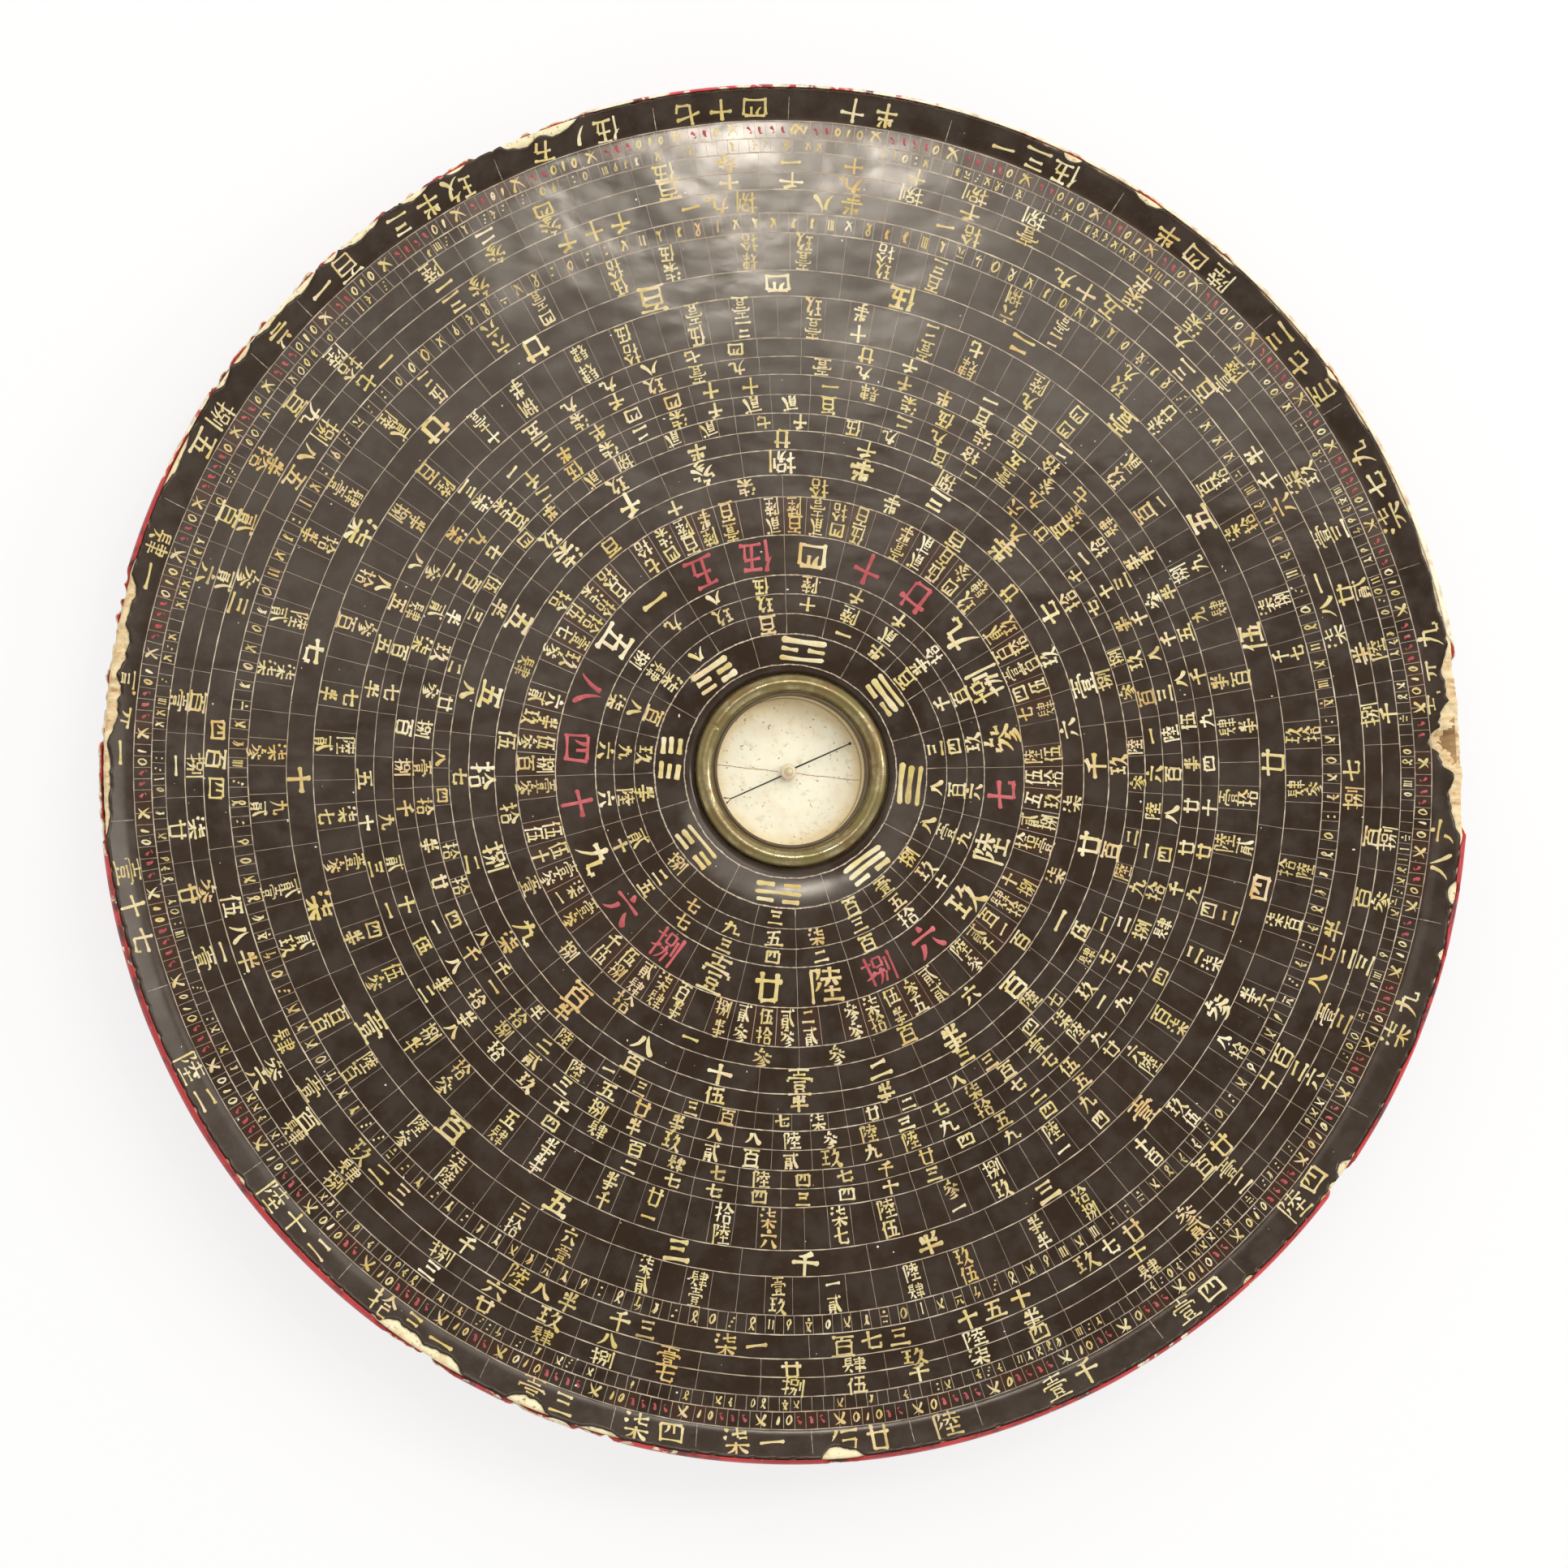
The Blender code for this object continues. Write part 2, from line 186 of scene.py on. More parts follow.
def place(
    name: str,
    shape: Shape,
    finish: "Finish",
    slot: str,
    nodes: tuple[str, ...] = (),
    body: str = "case",
    smooth: bool = True,
) -> None:
    """Makes a piece of the scene from a shape, dressed and riding on its body.

    Args:
        name: the piece's name.
        shape: its points and faces.
        finish: its material.
        slot: not used.
        nodes: the solids that the piece stands for.
        body: the body that carries it.
        smooth: True for smooth shading.
    """
    mesh = bpy.data.meshes.new(name)
    mesh.vertices.add(len(shape.points))
    mesh.vertices.foreach_set("co", shape.points.astype(np.float32).ravel())
    corners = np.concatenate([faces.ravel() for faces in shape.faces]).astype(np.int32)
    sizes = np.concatenate([np.full(len(faces), faces.shape[1]) for faces in shape.faces])
    mesh.loops.add(len(corners))
    mesh.loops.foreach_set("vertex_index", corners)
    mesh.polygons.add(len(sizes))
    mesh.polygons.foreach_set("loop_start", (np.cumsum(sizes) - sizes).astype(np.int32))
    mesh.update(calc_edges=True)
    mesh.validate()
    if smooth:
        mesh.shade_smooth()
    for key, value in shape.values.items():
        layer = mesh.attributes.new(key, "FLOAT", "POINT")
        layer.data.foreach_set("value", value.astype(np.float32).ravel())
    mesh.materials.append(finish.material())
    piece = bpy.data.objects.new(name, mesh)
    bpy.context.scene.collection.objects.link(piece)
    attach(piece, body)
    if nodes:
        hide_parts(*nodes)
    log.info("%s: %d points, %d faces, on %s", name, len(shape.points), len(sizes), body)


def smoothstep(low: float, high: float, value: Array) -> Array:
    """An S-shaped rise from 0 at low to 1 at high: 3 u^2 - 2 u^3.

    Args:
        low: where the rise starts.
        high: where it ends.
        value: where it is read.

    Returns:
        Values from 0 to 1.
    """
    share = np.clip((value - low) / (high - low), 0, 1)
    return share * share * (3 - 2 * share)


def ripple(degrees: Array, waves: tuple[int, ...], seed: int) -> Array:
    """Uneven waves round the dial: a sum of sines with whole numbers of waves, from -1 to 1.

    Args:
        degrees: angles on the dial.
        waves: the number of waves round the dial of each sine.
        seed: picks the phases and strengths.

    Returns:
        One value for each angle.
    """
    random = np.random.default_rng(seed)
    turn = np.radians(degrees)[..., None]
    strength = random.uniform(0.5, 1.0, len(waves))
    phase = random.uniform(0, 2 * np.pi, len(waves))
    total = (strength * np.sin(turn * np.array(waves) + phase)).sum(-1)
    return np.clip(total / (RIPPLE_REACH * strength.sum()), -1, 1)


# Finishes

class Tree:
    """A new material's nodes, with short calls to add and join them."""

    def __init__(self, name: str) -> None:
        """Starts a material with its Principled shader.

        Args:
            name: the material's name.
        """
        self.made = bpy.data.materials.new(name)
        self.made.use_nodes = True
        self.nodes = self.made.node_tree.nodes
        self.shader = self.nodes["Principled BSDF"]
        self.coordinates = self.add("ShaderNodeTexCoord").outputs["Object"]

    def feed(self, socket: Socket, value: object) -> None:
        """Joins a socket to another one, or sets its own value.

        Args:
            socket: the input.
            value: an output to join, or a value.
        """
        if isinstance(value, Socket):
            self.made.node_tree.links.new(value, socket)
        else:
            socket.default_value = value

    def add(self, kind: str, inputs: dict | None = None, **settings: object) -> bpy.types.Node:
        """Adds a node.

        Args:
            kind: the node's type.
            inputs: values or outputs for its inputs, by name or number.
            settings: its own settings.

        Returns:
            The node.
        """
        node = self.nodes.new(kind)
        for key, value in settings.items():
            setattr(node, key, value)
        for key, value in (inputs or {}).items():
            self.feed(node.inputs[key], value)
        return node

    def noise(
        self,
        size: float,
        detail: float = 3.0,
        rough: float = 0.55,
        stretch: Point | None = None,
        turn: float = 0.0,
    ) -> Socket:
        """Cloudy noise on the piece's own coordinates.

        Args:
            size: width of its clouds in metres.
            detail: octaves of finer noise.
            rough: strength of the finer noise.
            stretch: scale along each axis, if it isn't the same.
            turn: turn of the stretched noise about Z, in radians.

        Returns:
            Values of about 0.2 to 0.8.
        """
        vector = self.coordinates
        if stretch:
            mapping = {"Vector": vector, "Scale": stretch, "Rotation": (0.0, 0.0, turn)}
            vector = self.add("ShaderNodeMapping", mapping).outputs[0]
        inputs = {"Vector": vector, "Scale": 1 / size, "Detail": detail, "Roughness": rough}
        return self.add("ShaderNodeTexNoise", inputs).outputs["Fac"]

    def ramp(self, factor: Socket, *stops: tuple[float, object]) -> Socket:
        """A colour ramp.

        Args:
            factor: where it is read.
            stops: places from 0 to 1, each with a colour or a grey value.

        Returns:
            The colour.
        """
        node = self.add("ShaderNodeValToRGB", {"Fac": factor})
        points = node.color_ramp.elements
        while len(points) < len(stops):
            points.new(1.0)
        for point, (where, colour) in zip(points, stops):
            point.position = where
            point.color = (*colour, 1.0) if isinstance(colour, tuple) else (colour, colour, colour, 1.0)
        return node.outputs["Color"]

    def patches(
        self, size: float, detail: float, *stops: tuple[float, object], rough: float = 0.55
    ) -> Socket:
        """Cloudy noise read through a colour ramp.

        Args:
            size: width of the clouds in metres.
            detail: octaves of finer noise.
            stops: places from 0 to 1, each with a colour or a grey value.
            rough: strength of the finer noise.

        Returns:
            The colour.
        """
        return self.ramp(self.noise(size, detail, rough), *stops)

    def mix(self, factor: object, first: object, second: object) -> Socket:
        """Mixes two colours.

        Args:
            factor: share of the second.
            first: a colour or an output.
            second: a colour or an output.

        Returns:
            The mixed colour.
        """
        first, second = ((*c, 1.0) if isinstance(c, tuple) else c for c in (first, second))
        node = self.add("ShaderNodeMix", data_type="RGBA")
        for index, value in ((0, factor), (6, first), (7, second)):
            self.feed(node.inputs[index], value)
        return node.outputs[2]

    def math(self, kind: str, *values: object, clamp: bool = False) -> Socket:
        """A sum on single values.

        Args:
            kind: the operation's name.
            values: numbers or outputs.
            clamp: True to keep the result from 0 to 1.

        Returns:
            The result.
        """
        inputs = dict(enumerate(values))
        return self.add("ShaderNodeMath", inputs, operation=kind, use_clamp=clamp).outputs[0]

    def value(self, name: str) -> Socket:
        """The mesh's own value of that name."""
        return self.add("ShaderNodeAttribute", attribute_name=name).outputs["Fac"]

    def bump(self, height: object, depth: float, after: object = None) -> Socket:
        """Fine relief.

        Args:
            height: values from 0 to 1.
            depth: what 1 stands for, in metres.
            after: relief that this one adds to.

        Returns:
            The bent normal.
        """
        inputs = {"Height": height, "Distance": depth, "Strength": 1.0}
        if after is not None:
            inputs["Normal"] = after
        return self.add("ShaderNodeBump", inputs).outputs[0]

    def dress(self, **inputs: object) -> bpy.types.Material:
        """Sets the shader's sockets, named with _ for a space.

        Args:
            inputs: values or outputs.

        Returns:
            The material.
        """
        for name, value in inputs.items():
            if isinstance(value, tuple) and len(value) == 3:
                value = (*value, 1.0)
            self.feed(self.shader.inputs[name.replace("_", " ")], value)
        return self.made


@dataclass(frozen=True)
class Finish:
    """A finish that several pieces may share."""

    name: str

    def material(self) -> bpy.types.Material:
        """The finish's material, made the first time it is asked for."""
        return bpy.data.materials.get(self.name) or self.mixed(Tree(self.name))

    def mixed(self, tree: Tree) -> bpy.types.Material:
        """Fills in a new material. Each kind of finish has its own way.

        Args:
            tree: the new material's nodes.

        Returns:
            The material.
        """
        raise NotImplementedError(self.name)


@dataclass(frozen=True)
class DialLacquer(Finish):
    """Old brown-black lacquer: cloudy, brushed by hand, with a dull sheen and rubbed places."""

    dark: Colour = (0.0225, 0.0120, 0.0060)
    light: Colour = (0.0345, 0.0200, 0.0115)
    mottled: Colour = (0.047, 0.034, 0.026)
    dusty: Colour = (0.075, 0.062, 0.055)
    tinted: Colour = (0.066, 0.024, 0.012)
    swell_size: float = 0.011
    ripple_size: float = 0.0045
    stretch: Point = (1.0, 1.4, 1.0)
    sheen_level: float = 0.36
    sheen_tint: Colour = (1.0, 0.92, 0.82)

    def mixed(self, tree: Tree) -> bpy.types.Material:
        """Clouds of two browns, red-brown cells, uneven sheen and fine ripples."""
        clouds = tree.noise(0.030, 5.0, 0.6)
        colour = tree.ramp(clouds, (0.32, self.dark), (0.68, self.light))
        mottle = tree.patches(0.0065, 5.0, (0.42, 0.0), (0.62, 0.85), rough=0.6)
        colour = tree.mix(mottle, colour, self.mottled)
        dust = tree.patches(0.0016, 2.0, (0.62, 0.0), (0.80, 1.0))
        colour = tree.mix(tree.math("MULTIPLY", dust, 0.25), colour, self.dusty)
        colour = tree.mix(tree.value("tint"), colour, self.tinted)
        sheen = tree.noise(0.012, 3.0)
        rough = tree.ramp(sheen, (0.34, 0.10), (0.68, 0.17))
        rough = tree.math("MULTIPLY_ADD", tree.value("dull"), 0.12, rough)
        relief = tree.bump(tree.noise(self.swell_size, 1.0, 0.4, self.stretch), 0.00007)
        relief = tree.bump(tree.noise(self.ripple_size, 2.0, 0.4, self.stretch), 0.000016, relief)
        gloss = {"Specular_IOR_Level": self.sheen_level, "Specular_Tint": self.sheen_tint}
        return tree.dress(Base_Color=colour, Roughness=rough, Normal=relief, **gloss)


@dataclass(frozen=True)
class BrushPaint(Finish):
    """Brushed paint whose colour runs from worn to full with the mesh's own shade."""

    worn: Colour
    middle: Colour
    full: Colour
    stain: Colour
    blush: Colour = (0.76, 0.58, 0.42)
    pool: Colour = (0.66, 0.51, 0.11)
    pooled: float = 0.0

    def mixed(self, tree: Tree) -> bpy.types.Material:
        """The shade picks the colour, and clouds stain it, thin it and let it lie thick."""
        shade = tree.value("shade")
        uneven = tree.math("MULTIPLY_ADD", tree.noise(0.0012, 2.0), 0.5, -0.25)
        shade = tree.math("ADD", shade, uneven)
        colour = tree.ramp(shade, (0.0, self.worn), (0.5, self.middle), (0.95, self.full))
        patches = tree.patches(0.016, 3.0, (0.52, 0.0), (0.70, 0.75))
        colour = tree.mix(patches, colour, self.stain)
        pools = tree.patches(0.0075, 2.0, (0.50, 0.0), (0.62, self.pooled))
        colour = tree.mix(pools, colour, self.pool)
        blush = tree.patches(0.005, 3.0, (0.54, 0.0), (0.68, 0.55))
        colour = tree.mix(blush, colour, self.blush)
        relief = tree.bump(tree.noise(0.0006, 2.0), 0.00003)
        return tree.dress(Base_Color=colour, Roughness=0.52, Normal=relief)


@dataclass(frozen=True)
class AshGround(Finish):
    """Cream filler of ash and lacquer, pitted, with bare wood where the mesh says so."""

    cream: Colour = (0.90, 0.80, 0.52)
    shadow: Colour = (0.68, 0.53, 0.27)
    pit: Colour = (0.16, 0.10, 0.05)
    wood: Colour = (0.74, 0.53, 0.28)
    pale_wood: Colour = (0.86, 0.72, 0.46)
    grain: Colour = (0.44, 0.26, 0.11)

    def mixed(self, tree: Tree) -> bpy.types.Material:
        """Cream clouds with dark pits, or wood with long fibres."""
        cream = tree.patches(0.004, 4.0, (0.30, self.shadow), (0.52, self.cream))
        pits = tree.patches(0.0009, 2.0, (0.30, 1.0), (0.38, 0.0))
        cream = tree.mix(tree.math("MULTIPLY", pits, 0.7), cream, self.pit)
        fibres = tree.noise(0.0016, 3.0, 0.6, (0.16, 1.0, 1.0), 0.9)
        wood = tree.ramp(fibres, (0.34, self.grain), (0.48, self.wood), (0.66, self.pale_wood))
        colour = tree.mix(tree.value("bare"), cream, wood)
        relief = tree.bump(tree.noise(0.0014, 4.0, 0.7), 0.00022)
        return tree.dress(Base_Color=colour, Roughness=0.82, Normal=relief)


@dataclass(frozen=True)
class RimLacquer(Finish):
    """Red lacquer on the side, rubbed through to the cream ground where the mesh says so."""

    red: Colour = (0.60, 0.042, 0.046)
    deep: Colour = (0.36, 0.022, 0.026)
    bared: Colour = (0.88, 0.80, 0.60)
    soiled: Colour = (0.60, 0.47, 0.31)
    smudged: Colour = (0.055, 0.022, 0.018)
    fleck_edge: float = 26.0

    def mixed(self, tree: Tree) -> bpy.types.Material:
        """Clouded red, with a fleck where the noise lies under the wear of that place."""
        red = tree.patches(0.018, 4.0, (0.34, self.deep), (0.62, self.red))
        flecks = tree.noise(0.0042, 5.0, 0.65)
        level = tree.math("MULTIPLY_ADD", tree.value("wear"), 0.50, 0.24)
        depth = tree.math("SUBTRACT", level, flecks)
        bared = tree.math("MULTIPLY_ADD", depth, self.fleck_edge, 0.5, clamp=True)
        ground = tree.patches(0.003, 3.0, (0.32, self.soiled), (0.54, self.bared))
        smudge = tree.patches(0.007, 4.0, (0.52, 0.0), (0.64, 0.85), rough=0.6)
        red = tree.mix(smudge, red, self.smudged)
        colour = tree.mix(bared, red, ground)
        rough = tree.mix(bared, (0.36,) * 3, (0.8,) * 3)
        relief = tree.bump(tree.math("SUBTRACT", 1.0, bared), 0.00018)
        relief = tree.bump(tree.noise(0.005, 2.0), 0.00009, relief)
        return tree.dress(Base_Color=colour, Roughness=rough, Normal=relief)


@dataclass(frozen=True)
class BackLacquer(Finish):
    """Plain dark lacquer on the back, scuffed down to brown where it has slid about."""

    dark: Colour = (0.020, 0.012, 0.009)
    light: Colour = (0.050, 0.033, 0.024)
    scuffed: Colour = (0.15, 0.095, 0.055)

    def mixed(self, tree: Tree) -> bpy.types.Material:
        """Dark clouds under long thin scuffs."""
        colour = tree.patches(0.05, 5.0, (0.3, self.dark), (0.7, self.light))
        scuffs = tree.noise(0.004, 3.0, 0.6, (0.10, 1.0, 1.0), 0.5)
        scuffs = tree.ramp(scuffs, (0.60, 0.0), (0.68, 0.7))
        colour = tree.mix(scuffs, colour, self.scuffed)
        relief = tree.bump(tree.noise(0.004, 3.0), 0.00006)
        return tree.dress(Base_Color=colour, Roughness=0.5, Normal=relief)


@dataclass(frozen=True)
class Brass(Finish):
    """Old brass: polished where it is touched, with a dull skin of patina elsewhere."""

    metal: Colour
    patina: Colour
    cover: float
    rough: float
    dulled: float = 0.22
    dents: float = 0.00004
    browning: Colour = (0.95, 0.72, 0.75)

    def mixed(self, tree: Tree) -> bpy.types.Material:
        """Patina clouds lie on the metal, rougher and less metallic than it."""
        clouds = tree.noise(0.0065, 5.0, 0.65)
        skin = tree.ramp(clouds, (0.62 - self.cover * 0.4, 0.0), (0.80 - self.cover * 0.4, 1.0))
        bright = tree.mix(tree.noise(0.0018, 3.0), self.metal, tuple(0.6 * c for c in self.metal))
        brown = tuple(share * c for share, c in zip(self.browning, self.patina))
        patina = tree.mix(tree.patches(0.009, 3.0, (0.46, 0.0), (0.60, 1.0)), self.patina, brown)
        colour = tree.mix(tree.math("MULTIPLY", skin, 0.85), bright, patina)
        rough = tree.math("MULTIPLY_ADD", skin, self.dulled, self.rough)
        metal = tree.math("MULTIPLY_ADD", skin, -0.45, 1.0)
        relief = tree.bump(tree.noise(0.0010, 3.0), self.dents)
        return tree.dress(Base_Color=colour, Metallic=metal, Roughness=rough, Normal=relief)


@dataclass(frozen=True)
class LinedBrass(Brass):
    """Brass that is painted cream where the mesh says so."""

    lining: Colour = (0.68, 0.56, 0.34)

    def mixed(self, tree: Tree) -> bpy.types.Material:
        """The brass with matt cream paint over it."""
        made = super().mixed(tree)
        lined = tree.value("lined")
        sockets = tree.shader.inputs
        painted = {"Base Color": self.lining, "Metallic": (0.0,) * 3, "Roughness": (0.8,) * 3}
        for name, value in painted.items():
            bare = sockets[name].links[0].from_socket
            tree.feed(sockets[name], tree.mix(lined, bare, value))
        return made


@dataclass(frozen=True)
class FloorCard(Finish):
    """Cream card under the needle, with foxing, brown specks, a darker edge and a painted shadow over its
    upper (+Y) side.
    """

    cream: Colour = (0.95, 0.90, 0.72)
    # The yellowed colour, which also paints the shadow over the card's upper side
    aged_and_shaded: Colour = (0.84, 0.72, 0.47)
    blot: Colour = (0.62, 0.47, 0.25)
    fox: Colour = (0.36, 0.24, 0.11)

    def mixed(self, tree: Tree) -> bpy.types.Material:
        """Clouds of yellowing, faint blots and small specks; darker near the edge, and a painted shadow of
        the well's wall towards +Y.
        """
        clouds = tree.noise(0.007, 5.0, 0.6)
        edge = tree.math("MULTIPLY", tree.value("rim"), 0.55)
        # Painted shadow: the card darkens towards +Y, as if the bezel and the wall above it shaded it
        up = tree.add("ShaderNodeSeparateXYZ", {0: tree.coordinates}).outputs[1]
        top = tree.math("MULTIPLY_ADD", up, 45.0, -0.30, clamp=True)
        age_and_shade = tree.ramp(tree.math("ADD", tree.math("ADD", clouds, edge), top), (0.48, 0.0), (0.95, 1.0))
        colour = tree.mix(age_and_shade, self.cream, self.aged_and_shaded)
        spread = tree.patches(0.0052, 2.0, (0.40, 0.30), (0.56, 1.0))
        blots = tree.patches(0.0019, 4.0, (0.54, 0.0), (0.72, 0.55))
        colour = tree.mix(tree.math("MULTIPLY", blots, spread), colour, self.blot)
        specks = tree.patches(0.0008, 1.0, (0.69, 0.0), (0.735, 0.85))
        colour = tree.mix(tree.math("MULTIPLY", specks, spread), colour, self.fox)
        relief = tree.bump(tree.noise(0.0008, 3.0), 0.00002)
        return tree.dress(Base_Color=colour, Roughness=0.72, Normal=relief)


@dataclass(frozen=True)
class ClearGlass(Finish):
    """Thin old glass: nearly clear, with a faint haze and its own sheen."""

    def mixed(self, tree: Tree) -> bpy.types.Material:
        """A pale coat that lets most light through, a little denser where it is smeared."""
        haze = tree.patches(0.009, 4.0, (0.40, 0.012), (0.75, 0.045))
        rough = tree.patches(0.006, 3.0, (0.3, 0.03), (0.7, 0.10))
        return tree.dress(Base_Color=(0.86, 0.88, 0.82), Alpha=haze, Roughness=rough, IOR=1.5)


@dataclass(frozen=True)
class GreyMetal(Finish):
    """Iron or steel, darkened unevenly."""

    colour: Colour
    rough: float

    def mixed(self, tree: Tree) -> bpy.types.Material:
        """Clouds of a brighter and a rusty tone on the metal."""
        warm = (self.colour[0] * 1.5, self.colour[1] * 1.1, self.colour[2] * 0.8)
        colour = tree.mix(tree.patches(0.0016, 3.0, (0.4, 0.0), (0.65, 1.0)), self.colour, warm)
        relief = tree.bump(tree.noise(0.0005, 2.0), 0.00002)
        return tree.dress(Base_Color=colour, Metallic=0.85, Roughness=self.rough, Normal=relief)


@dataclass(frozen=True)
class TurnedWood(Finish):
    """Bare turned wood with straight grain."""

    dark: Colour = (0.20, 0.105, 0.04)
    light: Colour = (0.46, 0.29, 0.135)

    def mixed(self, tree: Tree) -> bpy.types.Material:
        """Long grain in two browns."""
        grain = tree.noise(0.004, 4.0, 0.6, (0.08, 1.0, 1.0), 0.3)
        colour = tree.ramp(grain, (0.34, self.dark), (0.62, self.light))
        return tree.dress(Base_Color=colour, Roughness=0.8, Normal=tree.bump(grain, 0.0001))


LACQUER = DialLacquer("dial_lacquer")
GOLD = BrushPaint(
    "gold_paint",
    worn=(0.30, 0.19, 0.07),
    middle=(0.64, 0.51, 0.20),
    full=(0.84, 0.76, 0.53),
    stain=(0.62, 0.34, 0.08),
    pooled=0.55,
)
LINE = BrushPaint(
    "line_paint",
    worn=(0.16, 0.12, 0.095),
    middle=(0.44, 0.36, 0.26),
    full=(0.72, 0.61, 0.44),
    stain=(0.42, 0.31, 0.19),
    blush=(0.60, 0.45, 0.34),
)
RED = BrushPaint(
    "red_paint",
    worn=(0.22, 0.035, 0.040),
    middle=(0.42, 0.055, 0.065),
    full=(0.56, 0.11, 0.12),
    stain=(0.30, 0.045, 0.05),
    blush=(0.60, 0.16, 0.17),
)
DUST = BrushPaint(
    "dust",
    worn=(0.60, 0.58, 0.52),
    middle=(0.78, 0.76, 0.70),
    full=(0.90, 0.88, 0.83),
    stain=(0.70, 0.66, 0.58),
    blush=(0.72, 0.66, 0.58),
)
INK = BrushPaint(
    "line_ink",
    worn=(0.30, 0.17, 0.10),
    middle=(0.40, 0.23, 0.13),
    full=(0.52, 0.34, 0.21),
    stain=(0.33, 0.20, 0.11),
    blush=(0.46, 0.29, 0.18),
)
GROUND = AshGround("ash_ground_coat")
RIM = RimLacquer("rim_lacquer")
BACK = BackLacquer("underside_lacquer")
BEZEL_BRASS = Brass(
    "bezel_patina",
    metal=(0.57, 0.485, 0.27),
    patina=(0.185, 0.145, 0.042),
    cover=0.62,
    rough=0.15,
    dulled=0.10,
    dents=0.000016,
)
RING_BRASS = Brass("ring_patina", (0.22, 0.175, 0.11), (0.15, 0.115, 0.07), cover=1.0, rough=0.42)
CUP_BRASS = Brass("cup_patina", (0.42, 0.33, 0.16), (0.22, 0.16, 0.075), cover=0.5, rough=0.36)
LINED_BRASS = LinedBrass("lined_cup", CUP_BRASS.metal, CUP_BRASS.patina, CUP_BRASS.cover, CUP_BRASS.rough)
CAP_BRASS = Brass("cap_patina", (0.92, 0.84, 0.62), (0.84, 0.74, 0.52), cover=0.9, rough=0.40)
# Card whose colour includes a painted shadow over its upper (+Y) side
CARD = FloorCard("aged_and_shaded_card")
GLASS = ClearGlass("cover_glass_clear")
IRON = GreyMetal("needle_dark_iron", (0.016, 0.013, 0.010), 0.55)
STEEL = GreyMetal("pin_steel", (0.30, 0.30, 0.31), 0.30)
WOOD = TurnedWood("turned_wood_grain")


# The disc

@dataclass(frozen=True)
class Chip:
    """A place at the rim where the coats broke away."""

    start: float
    end: float
    depth: float
    bare: float = 0.0


